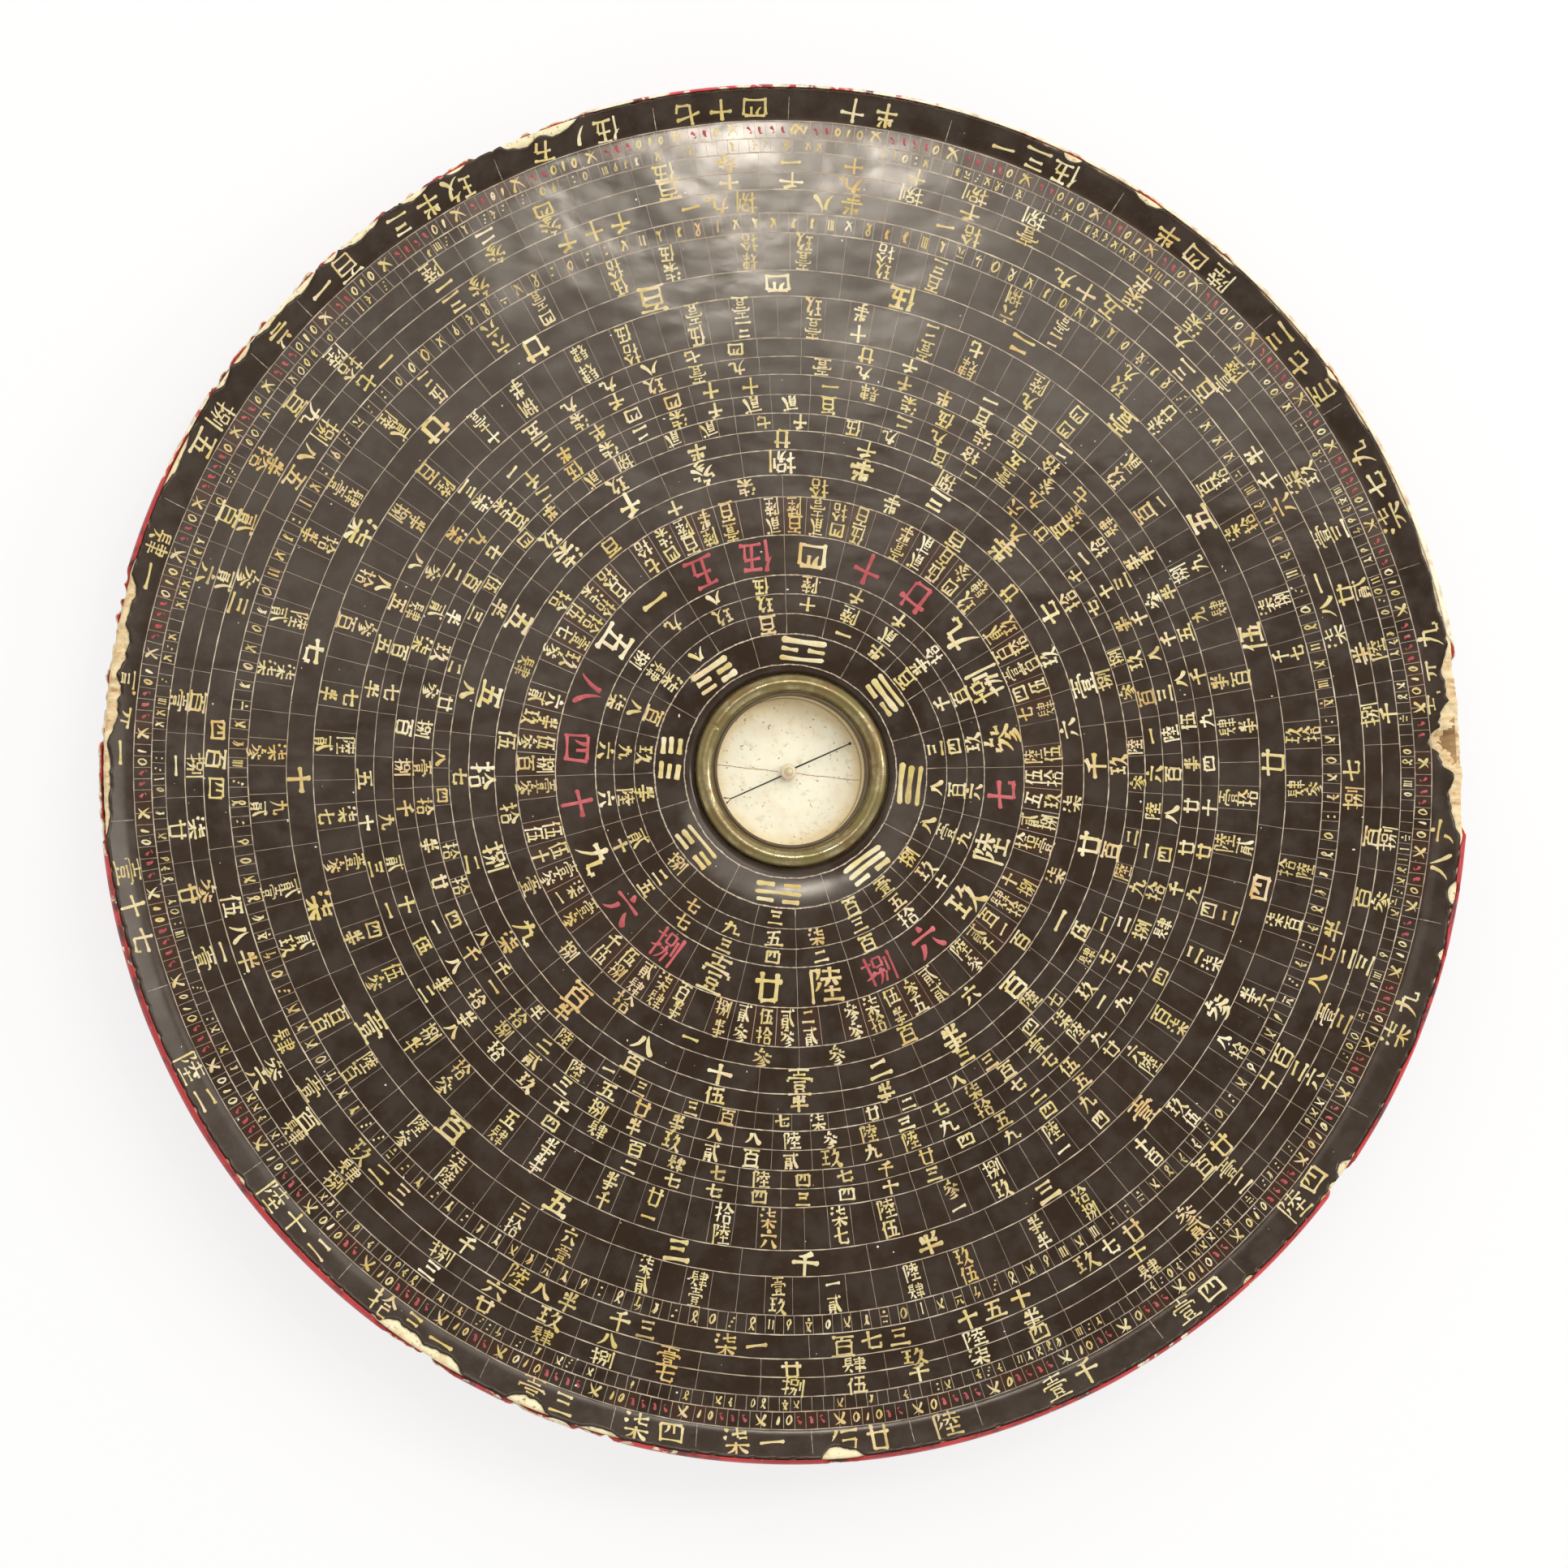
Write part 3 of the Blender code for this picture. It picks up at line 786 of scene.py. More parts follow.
@dataclass(frozen=True)
class DialShape:
    """Sizes of the disc, the height of its face and the line of its worn edge.

    The red lacquer's two tables pair an angle with its width in millimetres or its wear.
    """

    disc_radius: float = 0.160
    base_radius: float = 0.138
    dial_height: float = 0.0215
    field_radius: float = 0.1514
    field_rise: float = 0.0008
    lip_rise: float = 0.0026
    lip_bend: float = 0.35
    face_radius: float = 0.15885
    bore: float = 0.0227
    collar_width: float = 0.0115
    collar_drop: float = 0.0012
    edge_round: float = 0.0022
    flank_turn: float = math.radians(60)
    face_coat: float = 0.0006
    ground_coat: float = 0.0010
    ground_inset: float = 0.0010
    seam: float = 0.0003
    waves: tuple[tuple[float, float, float, float], ...] = (
        (0.070, 12.0, 0.3, 0.00005),
        (0.046, 75.0, 1.9, 0.00003),
        (0.033, 131.0, 4.0, 0.000022),
        (0.027, 40.0, 5.2, 0.000016),
        (0.058, 163.0, 2.2, 0.00004),
    )
    black_gap: float = 0.0001
    chips: tuple[Chip, ...] = (
        Chip(24.0, 25.8, 0.0016),
        Chip(31.0, 33.6, 0.0014),
        Chip(40.0, 41.2, 0.0008),
        Chip(53.0, 54.6, 0.0009),
        Chip(79.2, 84.9, 0.0027, 0.8),
        Chip(83.6, 90.4, 0.0072, 1.0),
        Chip(88.6, 95.2, 0.0030, 0.9),
        Chip(99.4, 101.2, 0.0018),
        Chip(105.0, 106.1, 0.0013),
        Chip(107.4, 108.3, 0.0007),
        Chip(124.9, 126.5, 0.0017),
        Chip(127.1, 127.9, 0.0008),
        Chip(137.5, 138.7, 0.0012),
        Chip(174.6, 178.0, 0.0031),
        Chip(195.2, 198.3, 0.0013),
        Chip(201.6, 204.9, 0.0031),
        Chip(209.2, 213.6, 0.0026),
        Chip(212.6, 217.2, 0.0031),
        Chip(233.0, 234.2, 0.0008),
        Chip(264.4, 273.2, 0.0019, 0.6),
        Chip(271.8, 278.6, 0.0034, 0.9),
        Chip(276.8, 282.4, 0.0037, 1.0),
        Chip(281.2, 286.0, 0.0026, 0.8),
        Chip(293.8, 298.6, 0.0013, 0.2),
        Chip(303.0, 304.9, 0.0011),
        Chip(305.5, 307.8, 0.0012),
        Chip(308.4, 312.6, 0.0014),
        Chip(311.8, 316.0, 0.0016),
        Chip(316.8, 318.4, 0.0010),
        Chip(318.6, 322.8, 0.0017),
        Chip(325.0, 327.8, 0.0015),
        Chip(329.5, 331.4, 0.0010),
        Chip(334.8, 338.8, 0.0026),
        Chip(337.6, 341.6, 0.0023),
    )

    bared: tuple[tuple[float, float], ...] = (
        (79.2, 95.2), (124.8, 128.2), (195.2, 198.8), (201.8, 204.8), (209.4, 217.0), (263.5, 286.4),
        (302.8, 342.0),
    )
    red_widths: tuple[tuple[float, float], ...] = (
        (0, 0.9), (20, 1.0), (60, 1.2), (80, 1.8), (97, 1.5), (103.5, 1.35), (104.8, 0.85), (108.2, 0.85),
        (109.4, 1.15), (111.4, 1.2), (113.0, 0.8), (114.4, 0.8), (115.8, 1.15), (123, 1.1), (128.8, 1.15),
        (135, 1.05), (150, 0.9), (166, 1.1), (187, 1.0), (205, 0.8), (222, 1.2), (255, 1.2), (264, 0.8),
        (288, 1.1), (300, 0.8), (345, 0.8), (360, 0.9),
    )
    red_wear: tuple[tuple[float, float], ...] = (
        (0, 0.62), (18, 0.80), (24, 1.04), (74, 1.08), (93, 1.06), (96.5, 0.14), (135, 0.14), (150, 0.46),
        (166, 0.12), (187, 0.20), (200, 0.62), (218, 0.10), (262, 0.3), (265, 1.1), (285, 1.1), (287, 0.1),
        (291, 0.15), (296, 0.66), (345, 0.62), (352, 0.36), (360, 0.62),
    )

    @property
    def rim_height(self) -> float:
        """Height of the face at its edge."""
        return float(self.level(np.array(self.face_radius)))

    @property
    def widest_height(self) -> float:
        """Height of the disc's widest ring."""
        return self.rim_height - self.edge_round

    def level(self, radius: Array) -> Array:
        """Height of the face: a collar sinks to the bezel, the field rises, the lip turns up.

        Args:
            radius: distance from the axis.

        Returns:
            Height of the face there.
        """
        collar = np.clip(1 - (radius - self.bore) / self.collar_width, 0, 1)
        rise = np.minimum(radius, self.field_radius) / self.field_radius
        lip_width = self.face_radius - self.field_radius
        across = np.maximum(radius - self.field_radius, 0) / lip_width
        bend = np.hypot(across, self.lip_bend) - self.lip_bend
        bend = bend / (math.hypot(1, self.lip_bend) - self.lip_bend)
        height = self.dial_height - self.collar_drop * collar**2
        return height + self.field_rise * rise**2 + self.lip_rise * bend

    def height(self, x: Array, y: Array) -> Array:
        """Height of the face with its slow hand-rubbed waves, which fade towards rim and bezel.

        Args:
            x: place to the right of the axis.
            y: place above it.

        Returns:
            Height of the face there.
        """
        radius = np.hypot(x, y)
        total = np.zeros_like(radius)
        for length, direction, phase, size in self.waves:
            along = x * math.cos(math.radians(direction)) + y * math.sin(math.radians(direction))
            total += size * np.sin(2 * np.pi * along / length + phase)
        fade = smoothstep(0.156, 0.142, radius) * smoothstep(self.bore, 0.034, radius)
        return self.level(radius) + total * fade

    def bite(self, degrees: Array, of_wood: bool = False) -> Array:
        """Depth of the chips: the deepest chip there, round in plan with a broken line.

        Args:
            degrees: angles on the dial.
            of_wood: True for how bare each chip leaves the wood, in place of its depth.

        Returns:
            Depth in metres, or bareness, and 0 between the chips.
        """
        ragged = 0.84 + 0.16 * ripple(degrees, (67, 97, 131, 173), 6)
        ragged = ragged + 0.05 * ripple(degrees, (353, 467), 5)
        depth = np.zeros_like(degrees)
        for chip in self.chips:
            along = np.clip((degrees - chip.start) / (chip.end - chip.start), 0, 1)
            worth = chip.bare if of_wood else chip.depth
            depth = np.maximum(depth, worth * np.sin(np.pi * along) ** 0.55 * ragged)
        return depth

    def edge(self, degrees: Array) -> Array:
        """Radius of the black lacquer's edge: short of the red lacquer, nibbled, and chipped.

        Args:
            degrees: angles on the dial.

        Returns:
            Radius of the edge.
        """
        nibble = np.maximum(ripple(degrees, (149, 223, 307, 431), 8), 0) ** 2
        worn = smoothstep(16, 26, degrees) * smoothstep(82, 74, degrees)
        rubbed = 0.00025 * worn * (1 + ripple(degrees, (41, 59, 83), 9))
        loss = 0.00035 * nibble * (1 - 0.7 * worn) + rubbed
        whole = self.disc_radius - self.red_width(degrees) - self.black_gap
        return whole - np.maximum(loss, self.bite(degrees))

    def red_width(self, degrees: Array) -> Array:
        """How far the red lacquer reaches over the rim, seen from above.

        Args:
            degrees: angles on the dial.

        Returns:
            Width in metres.
        """
        return np.interp(degrees, *np.transpose(self.red_widths)) * MILLIMETRE

    def flank(self, turn: Array, inset: Array | float) -> tuple[Array, Array]:
        """The side from its widest ring to the base: an elliptical curve, moved in square to it.

        Args:
            turn: angle on the ellipse, 0 at the widest ring and flank_turn at the base.
            inset: distance in from the side.

        Returns:
            Radius and height.
        """
        reach = (self.disc_radius - self.base_radius) / (1 - math.cos(self.flank_turn))
        fall = (self.widest_height - self.seam) / math.sin(self.flank_turn)
        inward = reach * np.sin(turn)
        down = fall * np.cos(turn)
        length = np.hypot(inward, down)
        radius = self.disc_radius - reach * (1 - np.cos(turn)) - inset * down / length
        return radius, self.widest_height - fall * np.sin(turn) + inset * inward / length


def all_round(steps: int) -> Array:
    """Angles that go once round the dial in even steps."""
    return np.arange(steps) * 360 / steps


def shell(radius: Array, height: Array, degrees: Array, **values: Array) -> Shape:
    """A closed shape of rows that go round the dial, the last of which joins the first.

    Args:
        radius: rows by angles.
        height: rows by angles.
        degrees: the angles, clockwise from +Y.
        values: values of the points, by name.

    Returns:
        The shape.
    """
    turn = np.radians(degrees)
    points = np.stack([radius * np.sin(turn), radius * np.cos(turn), height], -1).reshape(-1, 3)
    faces = grid_faces(len(radius), len(degrees), wrap_rows=True, wrap_cols=True)
    flat = {name: value.ravel() for name, value in values.items()}
    return Shape(points, [faces], flat).outward(False)


@dataclass(frozen=True)
class LacqueredDisc:
    """The coats on the turned disc."""

    dial: DialShape
    steps: int = 1440
    side_steps: int = 1440
    tint_ring: tuple[float, float] = (0.0548, 0.0639)
    tint_from: float = 23.7
    tint_pitch: float = 30.0
    tint_span: float = 25.0
    stained_ring: tuple[float, float] = (0.1472, 0.1519)
    lip_from: float = 0.1465
    ground_from: float = 0.149
    red_coat: float = 0.0008

    def face(self) -> Shape:
        """The black face: rings of points from the bezel to the broken edge and back below it.

        Returns:
            A closed shape with the tint of its red-brown cells and the dullness of its lip.
        """
        dial = self.dial
        degrees = all_round(self.steps)
        edge = dial.edge(degrees)[None, :]
        collar = dial.bore + dial.collar_width * np.array([0.0, 0.12, 0.3, 0.5, 0.75, 1.0])
        ring = self.tint_ring
        inner = np.linspace(collar[-1], ring[0] - 0.0006, 6)[1:]
        outer = np.linspace(ring[1] + 0.0006, self.lip_from, 20)
        fixed = np.concatenate([collar, inner, [ring[0], ring[1]], outer])[:, None]
        share = np.linspace(0, 1, 20)[1:-1, None]
        lip = self.lip_from + (edge - 0.00035 - self.lip_from) * np.vstack([share, [[1.0]]])
        fixed = np.repeat(fixed, self.steps, axis=1)
        radius = np.vstack([fixed, lip])
        turn = np.radians(degrees)
        height = dial.height(radius * np.sin(turn), radius * np.cos(turn))
        last = height[-1:]
        tint = np.zeros_like(radius)
        cell = np.mod(degrees - self.tint_from, self.tint_pitch) < self.tint_span
        streak = 0.28 + 0.22 * ripple(degrees, (31, 53, 77), 12)
        tint[(radius >= ring[0]) & (radius <= ring[1])] = 1
        tint *= np.where(cell, streak, 0)
        run = np.clip(0.5 + 2.5 * ripple(degrees, (23, 37, 51, 87), 13), 0, 1)
        tint += 0.45 * run * ((radius > self.stained_ring[0]) & (radius < self.stained_ring[1]))
        inward = np.array([1.0, 0.8, 0.6, 0.45, 0.3, 0.15, 0.0])[:, None]
        under = self.lip_from + (edge - 0.0009 - self.lip_from) * inward
        below = np.vstack([under, np.full_like(edge, 0.06), fixed[:1]])
        base = dial.level(below) - dial.face_coat
        round_radius = [edge - 0.0001, edge, edge - 0.0001]
        round_height = [last - 0.00008, last - 0.00026, last - 0.0005]
        radius = np.vstack([radius] + round_radius + [below])
        height = np.vstack([height] + round_height + [base])
        tint = np.vstack([tint, np.zeros((len(radius) - len(tint), self.steps))])
        return shell(radius, height, degrees, tint=tint, dull=smoothstep(0.1495, 0.1570, radius))

    def bareness(self, degrees: Array) -> Array:
        """How far the wood is bared at each angle, from 0 to 1."""
        return np.clip(self.dial.bite(degrees, of_wood=True) * 1.6, 0, 1)

    def ground(self) -> Shape:
        """The cream ground under the face and down the side, broken down to fibres in places.

        Returns:
            A closed shape with the bareness of the wood.
        """
        dial = self.dial
        degrees = all_round(self.side_steps)
        edge = dial.edge(degrees)[None, :]
        bite = dial.bite(degrees)[None, :]
        bare = self.bareness(degrees)[None, :]
        corner = dial.disc_radius - dial.ground_inset - 0.0005 * bare
        fixed = np.array([dial.bore, 0.027, 0.0342, 0.09, 0.13, 0.146, self.ground_from])[:, None]
        fixed = np.repeat(fixed, self.side_steps, axis=1)
        share = np.linspace(0, 1, 13)[1:, None]
        top = np.vstack([fixed, self.ground_from + (corner - 0.0006 - self.ground_from) * share])
        past = smoothstep(-0.0012, 0.0012, top - edge)
        turn = np.radians(degrees)
        relief = ripple(degrees, (611, 421, 283), 21)[None, :] * np.sin(top * 2600)
        relief += ripple(degrees, (733, 509), 22)[None, :] * np.cos(top * 4100 + 20 * turn)
        level = dial.level(np.minimum(top, dial.face_radius)) - dial.face_coat - 0.00004
        level += past * (0.0001 + relief * (0.00012 + 0.00022 * bare))
        slope = np.clip((top - edge) / 0.004, 0, 1) ** 1.2
        level -= past * bare * 0.0020 * slope
        sunk = level[-1:]
        down = np.radians(np.linspace(0, 60, 13))[1:, None]
        wear = 0.0004 * bare * np.exp(-down / 0.12)
        side_radius, side_height = dial.flank(down, dial.ground_inset + wear)
        rough = 0.00012 * bite / 0.003 * ripple(degrees, (523, 331), 23) * np.exp(-down / 0.2)
        side_radius = side_radius + rough
        side_height = np.broadcast_to(side_height, side_radius.shape)
        shoulder_radius = [corner - 0.0002, corner]
        shoulder_height = [sunk - 0.0002, sunk - 0.0007]
        inner_radius, inner_height = dial.flank(down[::-1][:-1:2], dial.ground_inset + dial.ground_coat)
        inner_radius = np.repeat(inner_radius, self.side_steps, axis=1)
        inner_height = np.repeat(inner_height, self.side_steps, axis=1)
        under = fixed[::-1]
        under_height = dial.level(under) - dial.face_coat - dial.ground_coat - 0.0005
        radius = np.vstack([top] + shoulder_radius + [side_radius, inner_radius, under])
        height = np.vstack([level] + shoulder_height + [side_height, inner_height, under_height])
        mask = np.vstack([past * bare, np.repeat(bare, 2, axis=0), bare * np.exp(-down / 0.09)])
        mask = np.vstack([mask, np.zeros((len(radius) - len(mask), self.side_steps))])
        return shell(radius, height, degrees, bare=mask)

    def rim(self) -> Shape:
        """The red side: a quarter-ellipse crown, then the flank. Chips lower its upper line.

        Returns:
            A closed shape with its wear.
        """
        dial = self.dial
        degrees = all_round(self.side_steps)
        width = dial.red_width(degrees)[None, :]
        chip = np.clip(dial.bite(degrees) / 0.0022, 0, 1)[None, :]
        bare = self.bareness(degrees)[None, :]
        nick = np.maximum(ripple(degrees, (83, 127, 181, 263), 31), 0)[None, :]
        lost = np.zeros_like(degrees)
        for first, last in dial.bared:
            rise = smoothstep(first - 1.2, first + 0.9, degrees)
            lost += rise * smoothstep(last + 1.2, last - 0.9, degrees)
        ragged = 1.75 + 0.75 * ripple(degrees, (11, 29, 47, 83, 131, 197, 263), 33)
        start = np.maximum(chip * (1.25 + 1.05 * bare + 0.25 * nick), ragged * lost)
        share = np.linspace(0, 1, 20)[:, None] ** 1.5
        along = start + (7 - start) * share
        crown = np.minimum(along, 1) * np.pi / 2
        inside = np.minimum(dial.disc_radius - width, dial.face_radius)
        top = dial.level(inside) - 0.00005 - dial.widest_height
        crown_radius = dial.disc_radius - width + width * np.sin(crown)
        crown_height = dial.widest_height + top * np.cos(crown)
        down = np.radians(np.maximum(along - 1, 0) * 10)
        flank_radius, flank_height = dial.flank(down, 0.0)
        on_flank = along > 1
        outer_radius = np.where(on_flank, flank_radius, crown_radius)
        outer_height = np.where(on_flank, flank_height, crown_height)
        coat = self.red_coat
        back_radius, back_height = dial.flank(down, coat)
        inner_radius = np.where(on_flank, back_radius, outer_radius - coat * np.sin(crown) - 0.0001)
        inner_height = np.where(on_flank, back_height, outer_height - coat * np.cos(crown) - 0.0001)
        inner_radius = inner_radius[::3][::-1]
        inner_height = inner_height[::3][::-1]
        waves = 0.00007 * ripple(degrees, (7, 11, 17, 23), 33) * np.sin(np.pi * share) ** 0.5
        radius = np.vstack([outer_radius - np.abs(waves), inner_radius])
        height = np.vstack([outer_height, inner_height])
        wear = np.interp(degrees, *np.transpose(dial.red_wear))[None, :]
        upper = np.clip(1.25 - 0.40 * np.maximum(along - 0.8, 0), 0.16, 1)
        foot = 0.55 * smoothstep(6.3, 7.0, along)
        wear = np.clip(wear * upper + foot + 0.5 * chip * np.exp(-3 * share), 0, 1)
        wear = np.vstack([wear, np.zeros_like(inner_radius)])
        return shell(radius, height, degrees, wear=wear)

    def back(self) -> Shape:
        """The coat on the flat back, with the fine grooves that the lathe left.

        Returns:
            A closed shape.
        """
        rim = self.dial.base_radius - 2 * self.dial.seam
        radius = np.linspace(0, rim - 0.0004, 90)
        groove = 0.000025 * (1 + np.sin(radius * 2900)) + 0.00002 * (1 + np.sin(radius * 610))
        below = np.stack([radius, groove * smoothstep(rim, rim - 0.004, radius)], -1)
        above = [(rim, 0.00025), (rim - 0.0001, 0.00055), (0.0, 0.0006)]
        return lathe(np.vstack([below, above]), 360)

    def build(self) -> None:
        """Makes the pieces of the disc."""
        place("dial_face", self.face(), LACQUER, "black_lacquer", ("face_lacquer",))
        place("ground_shell", self.ground(), GROUND, "ash_ground", ("ground_coat",))
        place("red_edge", self.rim(), RIM, "red_lacquer", ("edge_lacquer",))
        place("back_plate", self.back(), BACK, "back_lacquer", ("back_lacquer",))


# Brushwork

class Brush(Enum):
    """A kind of stroke."""

    LEVEL = ("h", 0.02, (0.50, 1.05, 0.78, 0.66, 0.86, 1.30, 0.60))
    UPRIGHT = ("v", 0.01, (0.60, 1.25, 0.92, 0.82, 0.84, 1.00, 0.40))
    LEFT = ("p", 0.13, (0.60, 1.40, 1.22, 0.92, 0.62, 0.38, 0.14))
    RIGHT = ("n", -0.11, (0.16, 0.40, 0.78, 1.12, 1.60, 1.25, 0.20))
    DOT = ("d", 0.04, (0.20, 0.55, 1.05, 1.45, 1.60, 1.25, 0.50))
    LOOP_LEFT = ("c", -0.24, (0.50, 0.85, 0.95, 0.80, 0.95, 0.85, 0.50))
    LOOP_RIGHT = ("q", 0.24, (0.50, 0.85, 1.25, 1.35, 1.15, 0.85, 0.50))
    BAR = ("b", 0.012, (0.40, 0.98, 0.98, 0.84, 0.98, 1.12, 0.45))
    RULE = ("l", 0.0, (0.70, 1.05, 1.00, 0.90, 1.00, 1.05, 0.60))

    def __init__(self, letter: str, bow: float, widths: tuple[float, ...]) -> None:
        """Names what a kind of stroke has.

        Args:
            letter: stands for it in a sign.
            bow: how far it bows out, as a share of its length.
            widths: its width at each station, as a share of the brush's.
        """
        self.letter = letter
        self.bow = bow
        self.widths = widths


BRUSHES = list(Brush)
BRUSH_BY_LETTER = {brush.letter: index for index, brush in enumerate(BRUSHES)}

# The places along a stroke where its brush gives a width
STATIONS = np.array([0.0, 0.05, 0.2, 0.5, 0.8, 0.95, 1.0])

# A sign is as wide and high as this many steps of its hex digits
SIGN_GRID = 15.0


class Script(Enum):
    """Sets of signs, all plain numbers or small ticks. A stroke is a letter and two hex points.

    A sign that stands twice in its set is written twice as often.
    """

    PLAIN = (
        "h18e7",
        "h35c4 h1cec",
        "h33c3 h47b7 h1ded",
        "v232d h23d3 vd3dd h2cdc p6348 v9398",
        "h22d2 v725d h37b7 vb7ad h0dfd",
        "d7083 h15e5 p581e na8ee",
        "h17e5 v616c h6cdc vdcd9",
        "p631d n82ed",
        "p611e h25a5 va5ac hacec vecea",
        "h17e7 v717f",
        "h15e5 v414e vb1be h4ebe",
        "h12e2 p7255 v353e h35c5 vc5ce h39c9 h3ece",
        "pb143 h17e7 v737f",
        "d4255 pb195 h36c6 h1aea v717f",
    )
    FORMAL = (
        "h21d1 v7074 h44b4 h16e6 v1618 ve6e8 h48b8 v5a5c h5aaa vaaac h5cac d5d6e pad9e h1fef",
        "h13b3 h3686 na0ee v383d h3888 v888d h3a8a h3c8c p4d2f d7d8f dc1d3",
        "p7053 h5393 p3426 h2666 pb4a6 ha6e6 p761b n86eb p996b pab5d pbd4f",
        "h2262 v2228 h2464 h2666 h0878 p481d d4b6e h83e3 h85f5 h87e7 h8aea h8cfc vb1bf ve3e7",
        "p4117 v353f h62e2 va29d h67d7 vd7cd h5dfd",
        "v212f h2151 p5145 p563a h72e2 va0a5 h65f5 p9578 db5d8 h7aea va8ad h6efe",
        "d1132 d0526 h54d3 v8086 h86d6 h1aea v787f p7a2e n8ade",
        "h0454 v303e p580a v6266 h62a2 va2a6 h66a6 h69a9 va99e p875e vc3ca ve1ef",
        "h0262 h1757 h0c6c v323c pa176 h94d4 pc46f na8ff",
        "h0454 v303e p580a pa066 na0f6 h87c7 v898e h89d9 vd9de h8ede",
        "h12e2 p7255 v353e h35c5 vc5ce h39c9 h3ece d1132 h0fef",
        "d4255 pb195 h36c6 h1aea v717f h3cbc p7f3f",
    )
    TALLY = (
        "v717e",
        "v424d vb2bd",
        "v323d v727d vc2cd",
        "pc22d n32dd",
        "v715a h2ada pb85e",
        "d7184 h17e7",
        "d7184 h17e7 h3ccc",
        "d7083 h15e5 pb53e n45ce",
        "h15e5 p581e na8ee",
    )
    TICKS = (
        "ca26d qa26d",
        "c925c q925c",
        "ca178 qa178 p782e n78de",
        "ca279 qa279 p795e",
        "da2c4 d7698 d4b6d",
        "da4b6 d6a7c",
        "pd22d n32dd",
        "pd22d n32dd",
        "p822d n83dd d888c",
        "pa239 h39c9 n68ce",
        "d7395 d7a9c",
        "p921c q525d",
    )
    CROSS = ("pd11e n11ee",)
    DROP = ("da26d",)
    RED = ("n35cc d2143", "d628e d3244")


def strokes_of(sign: str) -> Array:
    """Reads a sign.

    Args:
        sign: its strokes, each a letter and four hex digits.

    Returns:
        One row for each stroke: its start, its end and its kind.
    """
    rows = []
    for stroke in sign.split():
        ends = [int(digit, 16) for digit in stroke[1:]]
        rows.append(ends + [BRUSH_BY_LETTER[stroke[0]]])
    return np.array(rows, float)


SIGNS = {script: [strokes_of(sign) for sign in script.value] for script in Script}


class Seed(IntEnum):
    """Starting numbers of the hand's unevenness. Those that end in 0 start a run."""

    CELL_LINES = 41
    TRIGRAMS = 51
    LARGE_YELLOW = 52
    LARGE_RED = 53
    DUST = 55
    DEGREE_LINES = 56
    DEGREE_MARKS = 57
    RED_DEGREE_MARKS = 58
    INNER_GROUPS = 61
    OUTER_GROUPS = 62
    SIGNS = 70
    RING_LINES = 100
    RING_WANDER = 200
    RING_WIDTH = 300
    RING_SHADE = 400


@dataclass(frozen=True)
class Hand:
    """How unevenly the hand writes: the spread of each thing that it does."""

    ends: float = 0.22
    sizes: float = 0.05
    tilt: float = 0.045
    place: float = 0.00010
    weights: float = 0.10
    sign_shade: float = 0.08
    stroke_shade: float = 0.09
    line_ends: float = 0.00007
    line_shade: float = 0.10
    bow: float = 0.25
    station_width: float = 0.07
    station_shade: float = 0.05


